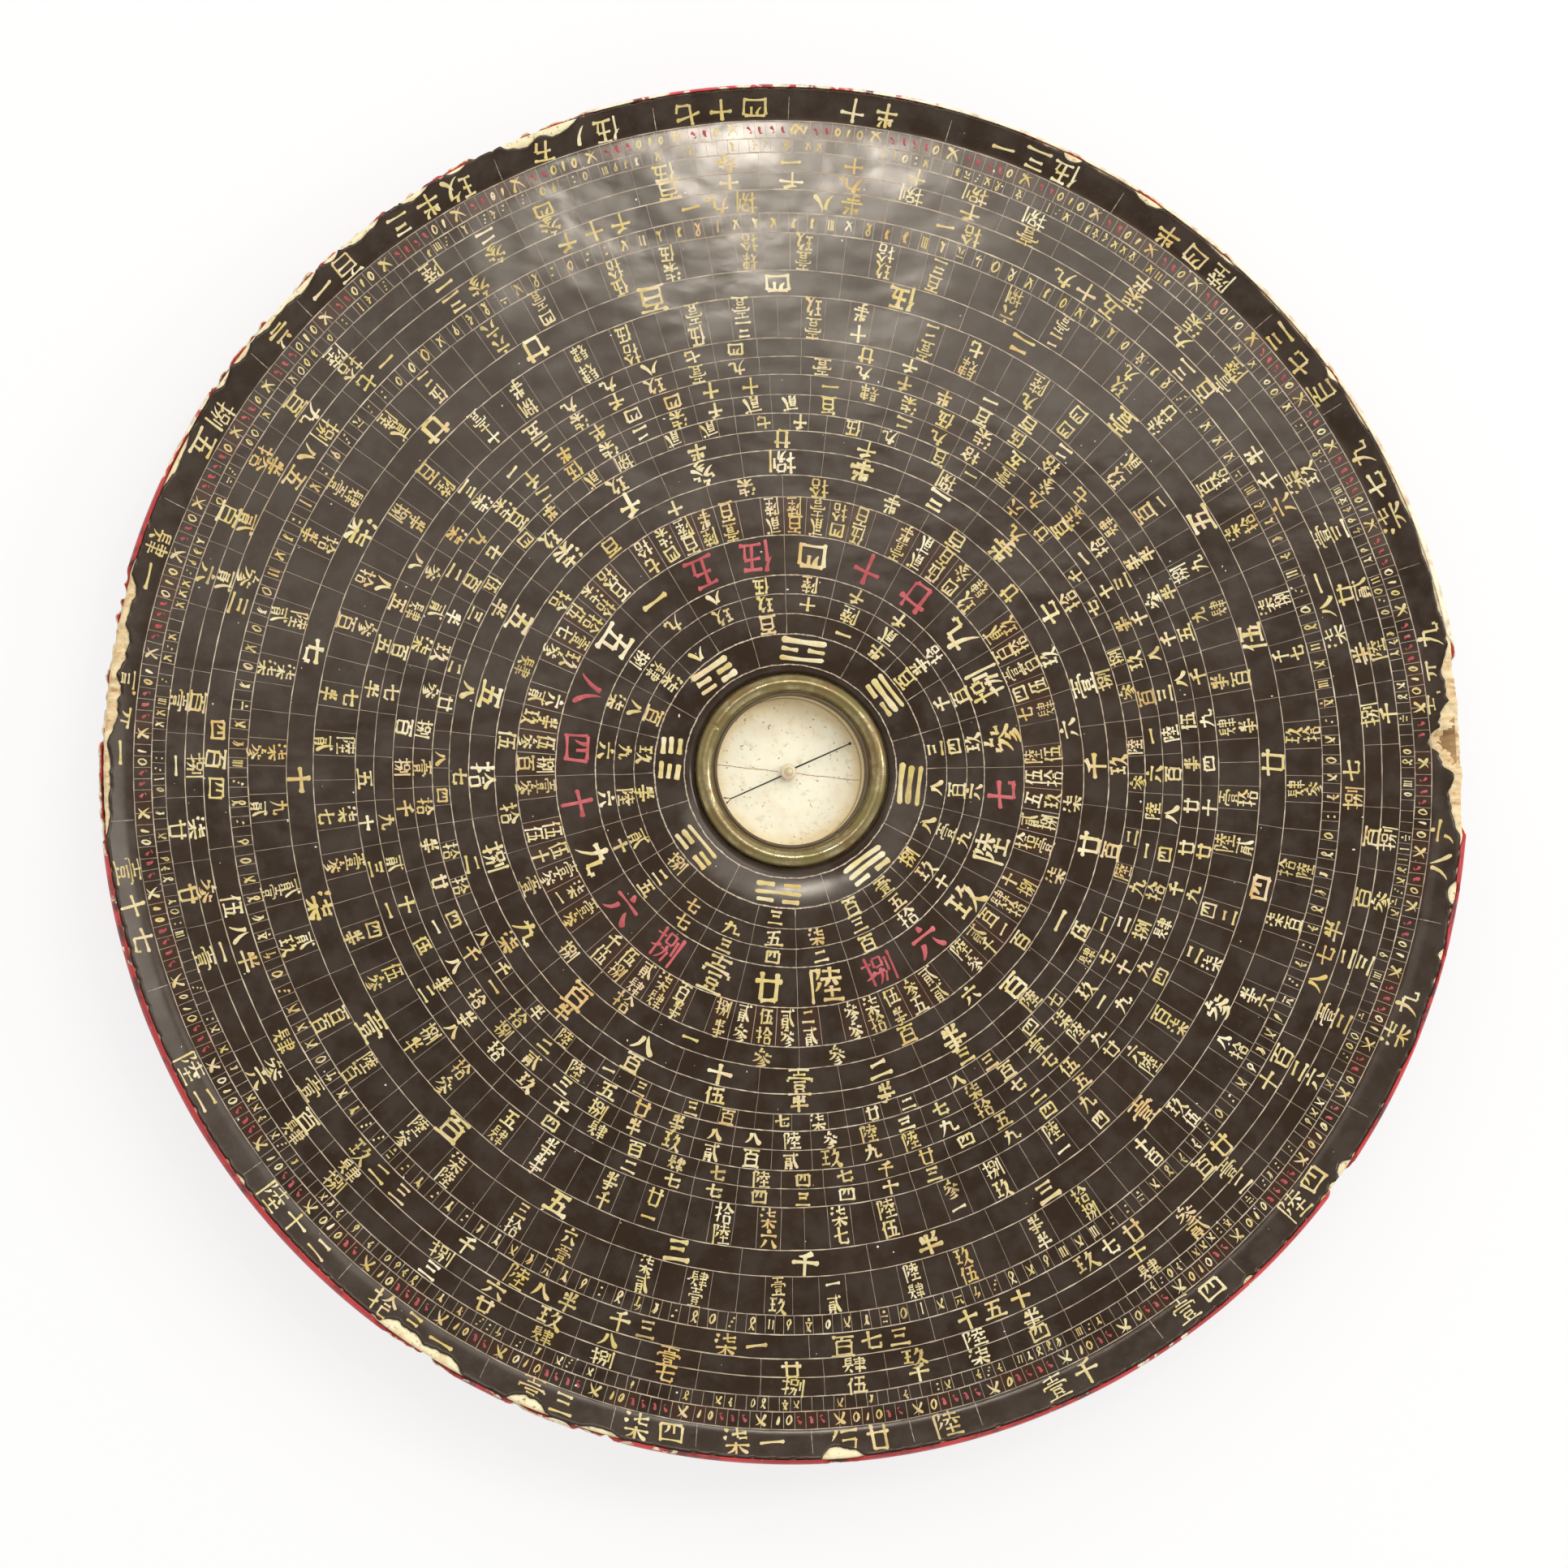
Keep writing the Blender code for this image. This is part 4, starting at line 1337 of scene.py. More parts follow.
@dataclass
class Brushwork:
    """Strokes laid on the dial, gathered and then made one film of paint."""

    dial: DialShape
    seed: int
    lift: float = 0.00006
    sink: float = 0.00002
    clear_of_edge: float = 0.0005
    hand: Hand = Hand()
    rows: list[Array] = field(default_factory=list)

    def __post_init__(self) -> None:
        """Starts the hand's unevenness from the seed."""
        self.random = np.random.default_rng(self.seed)

    def add(self, start: Array, end: Array, kind: Array, width: Array, shade: Array) -> None:
        """Gathers strokes given on the dial.

        Args:
            start: where each starts.
            end: where each ends.
            kind: the number of its brush.
            width: the width of the brush.
            shade: how full the paint is.
        """
        count = len(start)
        extra = [np.broadcast_to(value, (count,))[:, None] for value in (kind, width, shade)]
        self.rows.append(np.hstack([start, end] + extra))

    def write(
        self,
        strokes: Array,
        degrees: float,
        radius: float,
        size: tuple[float, float],
        width: float,
        shade: float,
    ) -> None:
        """Writes a sign whose top points to the middle of the dial.

        Args:
            strokes: the sign's strokes.
            degrees: the angle of its middle.
            radius: the radius of its middle.
            size: its width and height.
            width: the width of the brush.
            shade: how full the paint is.
        """
        random, hand = self.random, self.hand
        ends = strokes[:, :4].reshape(-1, 2, 2) - SIGN_GRID / 2
        ends = ends + random.normal(0, hand.ends, ends.shape)
        ends = ends / SIGN_GRID * np.array(size) * random.normal(1, hand.sizes, 2)
        tilt = random.normal(0, hand.tilt)
        turn = math.radians(degrees)
        down = np.array([math.sin(turn), math.cos(turn)])
        right = np.array([-math.cos(turn), math.sin(turn)])
        middle = radius * np.array([math.sin(turn), math.cos(turn)]) + random.normal(0, hand.place, 2)
        across = right * math.cos(tilt) + down * math.sin(tilt)
        along = down * math.cos(tilt) - right * math.sin(tilt)
        laid = middle + ends[..., :1] * across + ends[..., 1:] * along
        width = width * np.clip(1.28 - 0.036 * len(strokes), 0.70, 1.2)
        width = width * random.normal(1, hand.weights, len(strokes)).clip(0.75, 1.3)
        shade = shade + random.normal(0, hand.sign_shade)
        shade = shade + random.normal(0, hand.stroke_shade, len(strokes))
        self.add(laid[:, 0], laid[:, 1], strokes[:, 4], width, shade)

    def rule(self, degrees: Array, low: float, high: float, width: float, shade: Array | float) -> None:
        """Draws lines along the radius.

        Args:
            degrees: the angle of each line.
            low: their inner radius.
            high: their outer radius.
            width: their width.
            shade: how full the paint is.
        """
        turn = np.radians(degrees)
        way = np.stack([np.sin(turn), np.cos(turn)], -1)
        slip = self.random.normal(0, self.hand.line_ends, (2, len(turn), 2))
        shade = shade + self.random.normal(0, self.hand.line_shade, len(turn))
        kind = BRUSH_BY_LETTER["l"]
        self.add(way * low + slip[0], way * high + slip[1], kind, width, shade)

    def whole(self, places: Array) -> Array:
        """Which places lie on lacquer that hasn't chipped off."""
        degrees = np.mod(np.degrees(np.arctan2(places[:, 0], places[:, 1])), 360)
        return np.hypot(places[:, 0], places[:, 1]) < self.dial.edge(degrees) - self.clear_of_edge

    def film(self) -> Shape:
        """Lays the strokes on the face: a bowed line, the brush's width to each side, domed.

        Returns:
            Open films, each seven stations long and three points wide.
        """
        rows = np.concatenate(self.rows)
        start, end = rows[:, None, 0:2], rows[:, None, 2:4]
        kind = rows[:, 4].astype(int)
        bow = np.array([brush.bow for brush in BRUSHES])[kind][:, None, None]
        form = np.array([brush.widths for brush in BRUSHES])[kind]
        random, hand = self.random, self.hand
        whole = self.whole(start[:, 0]) & self.whole(end[:, 0]) & self.whole((start + end)[:, 0] / 2)
        bow = bow * random.normal(1, hand.bow, bow.shape)
        along = STATIONS[None, :, None]
        chord = end - start
        square = np.stack([-chord[..., 1], chord[..., 0]], -1)
        line = start + chord * along + square * bow * 4 * along * (1 - along)
        tangent = chord + square * bow * 4 * (1 - 2 * along)
        length = np.linalg.norm(tangent, axis=-1, keepdims=True)
        side = np.stack([-tangent[..., 1], tangent[..., 0]], -1) / np.maximum(length, 1e-9)
        uneven = random.normal(1, hand.station_width, form.shape).clip(0.7, 1.3)
        half = (rows[:, 5:6] / 2 * form * uneven)[..., None]
        plan = np.stack([line - side * half, line, line + side * half], 2)
        plan = plan + np.array(RING_CENTRE)
        lift = np.array([-self.sink, self.lift, -self.sink])[None, None, :]
        lift = np.broadcast_to(lift, plan.shape[:3]).copy()
        lift[:, :, 1] *= np.clip(half[..., 0] / 0.0002, 0.45, 1.6)
        height = self.dial.height(plan[..., 0], plan[..., 1]) + lift
        points = np.concatenate([plan, height[..., None]], -1).reshape(-1, 3)
        shade = rows[:, 6][:, None, None] + random.normal(0, hand.station_shade, form.shape)[..., None]
        shade = np.broadcast_to(shade, plan.shape[:3])[whole].ravel()
        points = points.reshape(len(rows), -1, 3)[whole].reshape(-1, 3)
        one = grid_faces(len(STATIONS), 3)
        faces = (one[None] + (np.arange(whole.sum()) * len(STATIONS) * 3)[:, None, None]).reshape(-1, 4)
        return Shape(points, [faces], {"shade": shade}).outward(True)


@dataclass(frozen=True)
class Band:
    """A ring of the dial between two ring lines, cut into cells that hold signs.

    In its pattern, # is a filled cell and . is an empty one.
    """

    name: str
    inner: int
    cells: int
    start: float
    size: tuple[float, float]
    weight: float
    scripts: tuple[tuple[Script, float], ...]
    pattern: str = "#"
    stack: int = 1
    chance: float = 1.0
    shade: float = 0.62
    ruled: float = 0.38


PLAIN_ONLY = ((Script.PLAIN, 1.0),)
MOSTLY_PLAIN = ((Script.PLAIN, 0.72), (Script.FORMAL, 0.28))
EVEN_MIX = ((Script.PLAIN, 0.45), (Script.FORMAL, 0.55))
MOSTLY_FORMAL = ((Script.PLAIN, 0.22), (Script.FORMAL, 0.78))
TICKS = ((Script.TICKS, 0.8), (Script.TALLY, 0.2))


@dataclass(frozen=True)
class DialMarks:
    """Everything brushed on the face: ring lines, cell lines, signs, trigrams and ticks."""

    dial: DialShape
    unit: float = 0.1583
    line_shares: tuple[float, ...] = (
        0.1568, 0.2012, 0.2312, 0.2606, 0.2876, 0.3464, 0.4034, 0.4352, 0.4724, 0.5012, 0.5264, 0.5540,
        0.5834, 0.6104, 0.6374, 0.6992, 0.7376, 0.7934, 0.8216, 0.8570, 0.8834, 0.9116, 0.9326, 0.9584,
    )
    ring_width: float = 0.00030
    first_ring_width: float = 0.00028
    ring_spread: float = 0.00006
    ring_wander: float = 0.00009
    uneven_count: int = 28
    dust_count: int = 250
    dusty_ring: tuple[float, float] = (0.028, 0.155)
    rim_radius: float = 0.1580
    last_line_end: float = 0.1572
    outer_group_radius: float = 0.15475
    trigrams: tuple[tuple[float, str, float], ...] = (
        (6.2, "101", 0.58), (51.2, "110", 0.58), (96.2, "111", 0.58), (141.2, "011", 0.58),
        (186.2, "010", 0.45), (231.2, "001", 0.58), (276.2, "000", 0.58), (321.2, "100", 0.58),
    )
    trigram_size: tuple[float, float] = (0.0098, 0.0058)
    trigram_lines_at: float = 28.7
    large_colours: str = "yrryyyryyrryyyrryrrryyrr"
    large_size: tuple[float, float] = (0.0078, 0.0082)
    large_signs_at: float = 6.1
    large_lines_at: float = 13.6
    bands: tuple[Band, ...] = (
        Band("b", 1, 24, 13.6, (0.0043, 0.0042), 0.00066, EVEN_MIX, chance=0.80),
        Band("c", 2, 24, 13.6, (0.0042, 0.0041), 0.00064, EVEN_MIX, chance=0.88),
        Band("d", 3, 24, 13.6, (0.0041, 0.0039), 0.00066, MOSTLY_PLAIN, chance=0.86),
        Band("f", 5, 72, 18.7, (0.0036, 0.0045), 0.00059, MOSTLY_FORMAL, ".#####", 2, ruled=0.5),
        Band("g", 6, 24, 13.6, (0.0045, 0.0044), 0.00066, EVEN_MIX, shade=0.56),
        Band("h", 7, 24, 6.2, (0.0064, 0.0056), 0.00092, EVEN_MIX, shade=0.66),
        Band("i", 8, 24, 6.2, (0.0047, 0.0043), 0.00073, MOSTLY_PLAIN),
        Band("j", 9, 120, 6.2, (0.0038, 0.0038), 0.00057, MOSTLY_PLAIN, ".#.#."),
        Band("k", 10, 60, 3.2, (0.0042, 0.0040), 0.00066, EVEN_MIX, chance=0.97),
        Band("l", 11, 60, 3.2, (0.0043, 0.0042), 0.00066, EVEN_MIX, chance=0.97),
        Band("m", 12, 60, 1.7, (0.0042, 0.0039), 0.00066, EVEN_MIX, chance=0.97),
        Band("n", 13, 60, 1.7, (0.0043, 0.0038), 0.00064, PLAIN_ONLY, chance=0.85),
        Band("o", 14, 120, 13.6, (0.0040, 0.0047), 0.00062, MOSTLY_FORMAL, ".#.#.", 2),
        Band("p", 15, 24, 6.2, (0.0070, 0.0058), 0.00097, EVEN_MIX, shade=0.62),
        Band("q", 16, 120, 6.2, (0.0038, 0.0043), 0.00059, MOSTLY_FORMAL, ".#.#.", 2),
        Band("r", 17, 360, 0.0, (0.0019, 0.0034), 0.00040, TICKS, "#.", shade=0.54, ruled=0.50),
        Band("t", 19, 60, 3.2, (0.0058, 0.0043), 0.00068, EVEN_MIX, "####.###.#####.#"),
        Band("u", 20, 60, 3.2, (0.0054, 0.0043), 0.00068, EVEN_MIX, "####.###.#####.#"),
        Band("v", 21, 360, 0.4, (0.0017, 0.0026), 0.00034, TICKS, chance=0.62, shade=0.54, ruled=0.56),
    )

    def radius(self, line: int) -> float:
        """Radius of a ring line, or of the last one's outer neighbour, the rim."""
        return self.line_shares[line] * self.unit if line < len(self.line_shares) else self.rim_radius

    def ring_lines(self) -> Shape:
        """The ring lines: each a thin domed band whose radius, width and shade wander a little.

        Returns:
            Open films.
        """
        steps = 900
        degrees = all_round(steps)
        turn = np.radians(degrees)
        shapes = []
        for index in range(len(self.line_shares)):
            random = np.random.default_rng(Seed.RING_LINES + index)
            wander = ripple(degrees, (2, 3, 7, 19, 43), Seed.RING_WANDER + index)
            middle = self.radius(index) + self.ring_wander * wander
            width = self.ring_width if index else self.first_ring_width
            width += self.ring_spread * random.uniform(-1, 1)
            half = width / 2 * (1 + 0.35 * ripple(degrees, (61, 97, 151, 211), Seed.RING_WIDTH + index))
            offsets = np.array([-1.0, 0.0, 1.0])[:, None]
            radius = middle + offsets * half
            x = radius * np.sin(turn) + RING_CENTRE[0]
            y = radius * np.cos(turn) + RING_CENTRE[1]
            lift = np.array([-0.00002, 0.00004, -0.00002])[:, None]
            points = np.stack([x, y, self.dial.height(x, y) + lift], -1).reshape(-1, 3)
            shade = 0.56 + 0.12 * random.uniform(-1, 1)
            shade = shade + 0.26 * ripple(degrees, (5, 11, 29, 71, 137), Seed.RING_SHADE + index)
            faces = grid_faces(3, steps, wrap_cols=True)
            shapes.append(Shape(points, [faces], {"shade": np.tile(shade, 3)}))
        return joined(shapes).outward(True)

    def uneven_cells(self, seed: int) -> Array:
        """Where the uneven cells of a ring start, in degrees."""
        random = np.random.default_rng(seed)
        share = random.uniform(0.45, 1.55, self.uneven_count)
        return np.cumsum(share) / share.sum() * 360

    def cell_lines(self) -> Shape:
        """The lines between cells.

        Returns:
            Open films.
        """
        lines = Brushwork(self.dial, Seed.CELL_LINES, lift=0.00003)
        trigram_lines = self.trigram_lines_at + 45 * np.arange(8)
        large_lines = self.large_lines_at + 15 * np.arange(24)
        lines.rule(trigram_lines, self.radius(0), self.radius(1), 0.00022, 0.36)
        lines.rule(large_lines, self.radius(4), self.radius(5), 0.00022, 0.38)
        for band in self.bands:
            degrees = band.start + 360 / band.cells * np.arange(band.cells)
            lines.rule(degrees, self.radius(band.inner), self.radius(band.inner + 1), 0.00021, band.ruled)
        inner = self.uneven_cells(Seed.INNER_GROUPS)
        lines.rule(inner, self.radius(18), self.radius(19), 0.00024, 0.42)
        outer = self.uneven_cells(Seed.OUTER_GROUPS)
        lines.rule(outer, self.radius(23) + 0.0002, self.last_line_end, 0.00024, 0.30)
        return lines.film()

    def pick(self, work: Brushwork, scripts: tuple[tuple[Script, float], ...]) -> Array:
        """One sign from a mix of sets.

        Args:
            work: whose random numbers are used.
            scripts: the sets and their shares.

        Returns:
            The sign's strokes.
        """
        chosen = work.random.choice(len(scripts), p=[share for _, share in scripts])
        signs = SIGNS[scripts[chosen][0]]
        return signs[work.random.integers(len(signs))]

    def fill(self, work: Brushwork, band: Band) -> None:
        """Fills the cells of a ring with signs.

        Args:
            work: takes the strokes.
            band: the ring.
        """
        low, high = self.radius(band.inner), self.radius(band.inner + 1)
        for cell in range(band.cells):
            if band.pattern[cell % len(band.pattern)] == "." or work.random.random() > band.chance:
                continue
            degrees = band.start + 360 / band.cells * (cell + 0.5)
            shade = band.shade + work.random.normal(0, 0.10)
            for level in range(band.stack):
                radius = low + (high - low) * (level + 0.5) / band.stack
                work.write(self.pick(work, band.scripts), degrees, radius, band.size, band.weight, shade)

    def trigram_bars(self) -> Shape:
        """Eight trigrams round the bezel: three bars each, solid or parted, the outer one first.

        Returns:
            Open films.
        """
        work = Brushwork(self.dial, Seed.TRIGRAMS, lift=0.00010)
        middle = (self.radius(0) + self.radius(1)) / 2
        for degrees, bars, shade in self.trigrams:
            rows = []
            for bar, solid in zip((12.6, 7.5, 2.4), bars):
                spans = ((0.0, 15.0),) if solid == "1" else ((0.2, 6.1), (9.1, 14.8))
                rows += [(left, bar, right, bar, BRUSH_BY_LETTER["b"]) for left, right in spans]
            work.write(np.array(rows), degrees, middle, self.trigram_size, 0.00108, shade)
        return work.film()

    def large_signs(self) -> tuple[Shape, Shape]:
        """The ring of 24 large signs, some yellow and some red.

        Returns:
            The yellow films and the red ones.
        """
        yellow = Brushwork(self.dial, Seed.LARGE_YELLOW, lift=0.00008)
        red = Brushwork(self.dial, Seed.LARGE_RED, lift=0.00008)
        middle = (self.radius(4) + self.radius(5)) / 2
        for index, letter in enumerate(self.large_colours):
            work, brush = (red, 0.00090) if letter == "r" else (yellow, 0.00106)
            sign = self.pick(work, EVEN_MIX if index % 3 else PLAIN_ONLY)
            degrees = self.large_signs_at + 15 * index
            work.write(sign, degrees, middle, self.large_size, brush, 0.68)
        return yellow.film(), red.film()

    def groups(
        self, work: Brushwork, seed: int, radius: float, size: tuple[float, float], width: float
    ) -> None:
        """Fills the uneven cells of a ring with groups of two or three signs, side by side.

        Args:
            work: takes the strokes.
            seed: the seed of the cells.
            radius: the radius of the signs' middles.
            size: the size of a sign.
            width: the width of the brush.
        """
        ends = self.uneven_cells(seed)
        starts = np.concatenate([[0.0], ends[:-1]])
        pitch = math.degrees(size[0] / radius) * 1.22
        for start, end in zip(starts, ends):
            room = int((end - start - 0.6) / pitch)
            count = min(room, 3 if work.random.random() < 0.7 else 2)
            shade = 0.58 + work.random.normal(0, 0.08)
            for column in range(count):
                scripts = MOSTLY_FORMAL if column == count - 1 else PLAIN_ONLY
                degrees = (start + end) / 2 + (column - (count - 1) / 2) * pitch
                work.write(self.pick(work, scripts), degrees, radius, size, width, shade)

    def degree_ring(self) -> tuple[Shape, Shape, Shape]:
        """The outermost ring of single degrees: crosses, drops and runs of red cells.

        Returns:
            The cell lines, the yellow marks and the red ones.
        """
        lines = Brushwork(self.dial, Seed.DEGREE_LINES, lift=0.00003)
        yellow = Brushwork(self.dial, Seed.DEGREE_MARKS)
        red = Brushwork(self.dial, Seed.RED_DEGREE_MARKS, lift=0.00007)
        low, high = self.radius(22), self.radius(23)
        middle = (low + high) / 2
        lines.rule(np.arange(360.0), low, high, 0.00021, 0.56)
        random = yellow.random
        cell = 0
        while cell < 358:
            run = random.integers(2, 5)
            after = random.integers(1, 4)
            yellow.write(SIGNS[Script.CROSS][0], cell + 1, middle, (0.0029, 0.0030), 0.00048, 0.52)
            for step in range(run):
                sign = SIGNS[Script.RED][step % 2]
                red.write(sign, cell + 2.5 + step, middle, (0.0014, 0.0020), 0.00046, 0.46)
            for step in range(after):
                sign = SIGNS[Script.DROP if step % 2 else Script.TICKS][0]
                where = cell + 2.5 + run + step
                yellow.write(sign, where, middle, (0.0017, 0.0028), 0.00040, 0.62)
            cell += 2 + run + after
        return lines.film(), yellow.film(), red.film()

    def specks(self) -> Shape:
        """Grains of dust and spatters: small domes of six sides.

        Returns:
            Open films.
        """
        random = np.random.default_rng(Seed.DUST)
        count = self.dust_count
        sides = 6
        turn = random.uniform(0, 2 * np.pi, count)
        radius = np.sqrt(random.uniform(self.dusty_ring[0] ** 2, self.dusty_ring[1] ** 2, count))
        size = 0.00012 + 0.00022 * random.uniform(0, 1, count) ** 3
        around = np.linspace(0, 2 * np.pi, sides, endpoint=False)[None, :]
        x = (radius * np.sin(turn))[:, None]
        y = (radius * np.cos(turn))[:, None]
        long = random.uniform(0.7, 1.5, count)[:, None]
        ring_x = x + size[:, None] * np.cos(around) * long
        ring_y = y + size[:, None] * np.sin(around) / long
        plan_x = np.hstack([ring_x, x])
        plan_y = np.hstack([ring_y, y])
        lift = np.hstack([np.full((count, sides), -0.00002), size[:, None] * 0.5])
        height = self.dial.height(plan_x, plan_y) + lift
        points = np.stack([plan_x, plan_y, height], -1).reshape(-1, 3)
        corner = np.arange(sides)
        fan = np.stack([corner, np.roll(corner, -1), np.full(sides, sides)], -1)
        faces = (fan[None] + (np.arange(count) * (sides + 1))[:, None, None]).reshape(-1, 3)
        shade = np.repeat(random.uniform(0.1, 0.9, count), sides + 1)
        return Shape(points, [faces], {"shade": shade}).outward(True)

    def build(self) -> None:
        """Makes the pieces of the brushwork."""
        place("ring_lines", self.ring_lines(), LINE, "black_lacquer")
        place("cell_lines", self.cell_lines(), LINE, "black_lacquer")
        place("trigrams", self.trigram_bars(), GOLD, "black_lacquer")
        yellow, red = self.large_signs()
        place("large_signs", yellow, GOLD, "black_lacquer")
        place("large_red_signs", red, RED, "black_lacquer")
        zones = {
            "inner_signs": "bcdfghi",
            "middle_signs": "jklmn",
            "outer_signs": "opqtu",
            "fine_ticks": "rv",
        }
        for index, (name, letters) in enumerate(zones.items()):
            work = Brushwork(self.dial, Seed.SIGNS + index)
            for band in self.bands:
                if band.name in letters:
                    self.fill(work, band)
            if name == "outer_signs":
                middle = (self.radius(18) + self.radius(19)) / 2
                self.groups(work, Seed.INNER_GROUPS, middle, (0.0054, 0.0050), 0.00068)
                outer = self.outer_group_radius
                self.groups(work, Seed.OUTER_GROUPS, outer, (0.0066, 0.0058), 0.00072)
            place(name, work.film(), GOLD, "black_lacquer")
        degree_lines, crosses, red_marks = self.degree_ring()
        place("degree_lines", degree_lines, LINE, "black_lacquer")
        place("degree_marks", crosses, GOLD, "black_lacquer")
        place("red_degree_marks", red_marks, RED, "black_lacquer")
        place("dust_specks", self.specks(), DUST, "black_lacquer")


# Needle well and needle

@dataclass(frozen=True)
class NeedleWell:
    """Bezel, split ring, glass, cup and floor of the needle well."""

    dial: DialShape
    bezel_width: float = 0.0039
    bezel_crown: float = 0.0016
    cup_radius: float = 0.0204
    cup_under: float = 0.0107
    cup_base: float = 0.0016
    chamber: float = 0.0175
    ledge: float = 0.017618
    seat_rise: float = 0.0005
    glass_thickness: float = 0.0016
    card_thickness: float = 0.0006
    pin_hole: float = 0.0007
    soft: float = 0.0002
    split_ring_radius: float = 0.01775
    wire_half_width: float = 0.00042
    wire_half_height: float = 0.0004
    seam_at: float = 299.3
    split_at: float = 144.6
    line_at: float = 96.0

    @property
    def bezel_radius(self) -> float:
        """Outer radius of the bezel."""
        return self.dial.bore - self.dial.seam

    @property
    def ledge_radius(self) -> float:
        """Radius of the cup's wall round the glass."""
        return self.bezel_radius - self.bezel_width - self.dial.seam

    @property
    def seat(self) -> float:
        """Height of the cup's rim under the bezel."""
        return self.ledge + self.seat_rise

    @property
    def glass_low(self) -> float:
        """Height of the glass's underside."""
        return self.ledge + self.dial.seam

    @property
    def glass_top(self) -> float:
        """Height of the glass's upper side."""
        return self.glass_low + self.glass_thickness

    @property
    def cup_floor(self) -> float:
        """Height of the cup's floor."""
        return self.cup_under + self.cup_base

    @property
    def floor_top(self) -> float:
        """Height of the card's upper side."""
        return self.cup_floor + self.dial.seam + self.card_thickness

    def bezel(self) -> Shape:
        """A half-round ring, a little out of true, with the groove of its soldered joint.

        Returns:
            A closed shape.
        """
        steps = 720
        degrees = all_round(steps)
        arc = np.radians(np.linspace(0, 180, 25))[:, None]
        groove = np.exp(-((np.mod(degrees - self.seam_at + 180, 360) - 180) / 0.9) ** 2)
        after = np.mod(degrees - self.seam_at, 360)
        spread = 1 + 0.012 * ripple(degrees, (3, 5, 9, 14), 81)
        spread = spread - 0.035 * np.exp(-after / 14) * (after > 0.5)
        middle = self.bezel_radius - self.bezel_width / 2
        spring = float(self.dial.level(np.array(self.dial.bore)))
        worn = self.bezel_crown * (spread - 0.10 * groove) - 0.00002
        radius = middle + self.bezel_width / 2 * np.cos(arc) * (1 - 0.03 * groove)
        height = spring + worn * np.sin(arc)
        foot = self.seat + self.dial.seam
        inner, outer = self.bezel_radius - self.bezel_width, self.bezel_radius
        low_radius = np.array([inner, inner + self.soft, outer - self.soft, outer])[:, None]
        low_height = np.array([foot + self.soft, foot, foot, foot + self.soft])[:, None]
        radius = np.vstack([radius, np.repeat(low_radius, steps, axis=1)])
        height = np.vstack([height, np.repeat(low_height, steps, axis=1)])
        return shell(radius, height, degrees)

    def split_ring(self) -> Shape:
        """A wire bent round on the glass, open at its split.

        Returns:
            A closed shape.
        """
        degrees = self.split_at + np.linspace(1.45, 358.55, 420)
        turn = np.radians(degrees)
        way = np.stack([np.sin(turn), np.cos(turn), np.zeros_like(turn)], -1)
        middle = self.split_ring_radius + 0.00003 * ripple(degrees, (2, 5, 11), 82)
        height = self.glass_top + self.dial.seam + self.wire_half_height
        centres = way * middle[:, None] + np.array([0, 0, height])
        up = np.tile([0.0, 0.0, self.wire_half_height], (len(turn), 1))
        return loft(centres, way * self.wire_half_width, up, 12)

    def glass(self) -> Shape:
        """The cover glass, with softened edges.

        Returns:
            A closed shape.
        """
        radius = self.ledge_radius - self.dial.seam
        low, top, soft = self.glass_low, self.glass_top, self.soft
        profile = [(0, low), (radius - soft, low), (radius, low + soft), (radius, top - soft)]
        profile += [(radius - soft, top), (0, top)]
        return lathe(np.array(profile), 180)

    def cup(self) -> Shape:
        """The turned cup: floor, wall with faint tool rings, ledge for the glass, and outside.

        Returns:
            A closed shape.
        """
        wall_height = np.linspace(self.cup_floor + 0.0004, self.ledge, 24)
        wall = np.stack([self.chamber - 0.00002 * (1 + np.sin(wall_height * 9000)), wall_height], -1)
        inside = [(0, self.cup_floor), (self.chamber - 0.0004, self.cup_floor)]
        ledge = self.ledge_radius
        upper = [(ledge, self.ledge), (ledge, self.seat - 0.0001), (ledge + 0.0001, self.seat)]
        outside = [(self.cup_radius, self.seat), (self.cup_radius, self.cup_under), (0, self.cup_under)]
        shape = lathe(np.vstack([inside, wall, upper, outside]), 180)
        radius = np.hypot(shape.points[:, 0], shape.points[:, 1])
        height = shape.points[:, 2]
        on_wall = (height > self.cup_floor + self.soft) & (height < self.ledge - self.soft)
        lined = (radius < self.chamber + 0.0001) & on_wall
        shape.values = {"lined": lined.astype(float)}
        return shape

    def floor(self) -> Shape:
        """The card on the cup's floor, cockled a little, with a value that darkens its colour towards its
        edge.

        Returns:
            A closed shape.
        """
        steps = 240
        degrees = all_round(steps)
        hole = self.pin_hole
        rim = self.chamber - 0.00006
        radius = np.concatenate([np.linspace(hole, rim - self.soft, 34), [rim, rim - 0.0001, hole]])
        cockle = 0.00004 * ripple(degrees, (3, 5, 8), 83)[None, :]
        share = np.clip(radius / rim, 0, 1)[:, None]
        height = self.floor_top - 0.00004 + cockle * share**2 * (share < 0.985)
        under = self.floor_top - self.card_thickness
        height[-3:] = np.array([self.floor_top - self.soft, under, under])[:, None]
        radius = np.repeat(radius[:, None], steps, axis=1)
        return shell(radius, height, degrees, rim=smoothstep(0.80, 1.0, radius / rim))

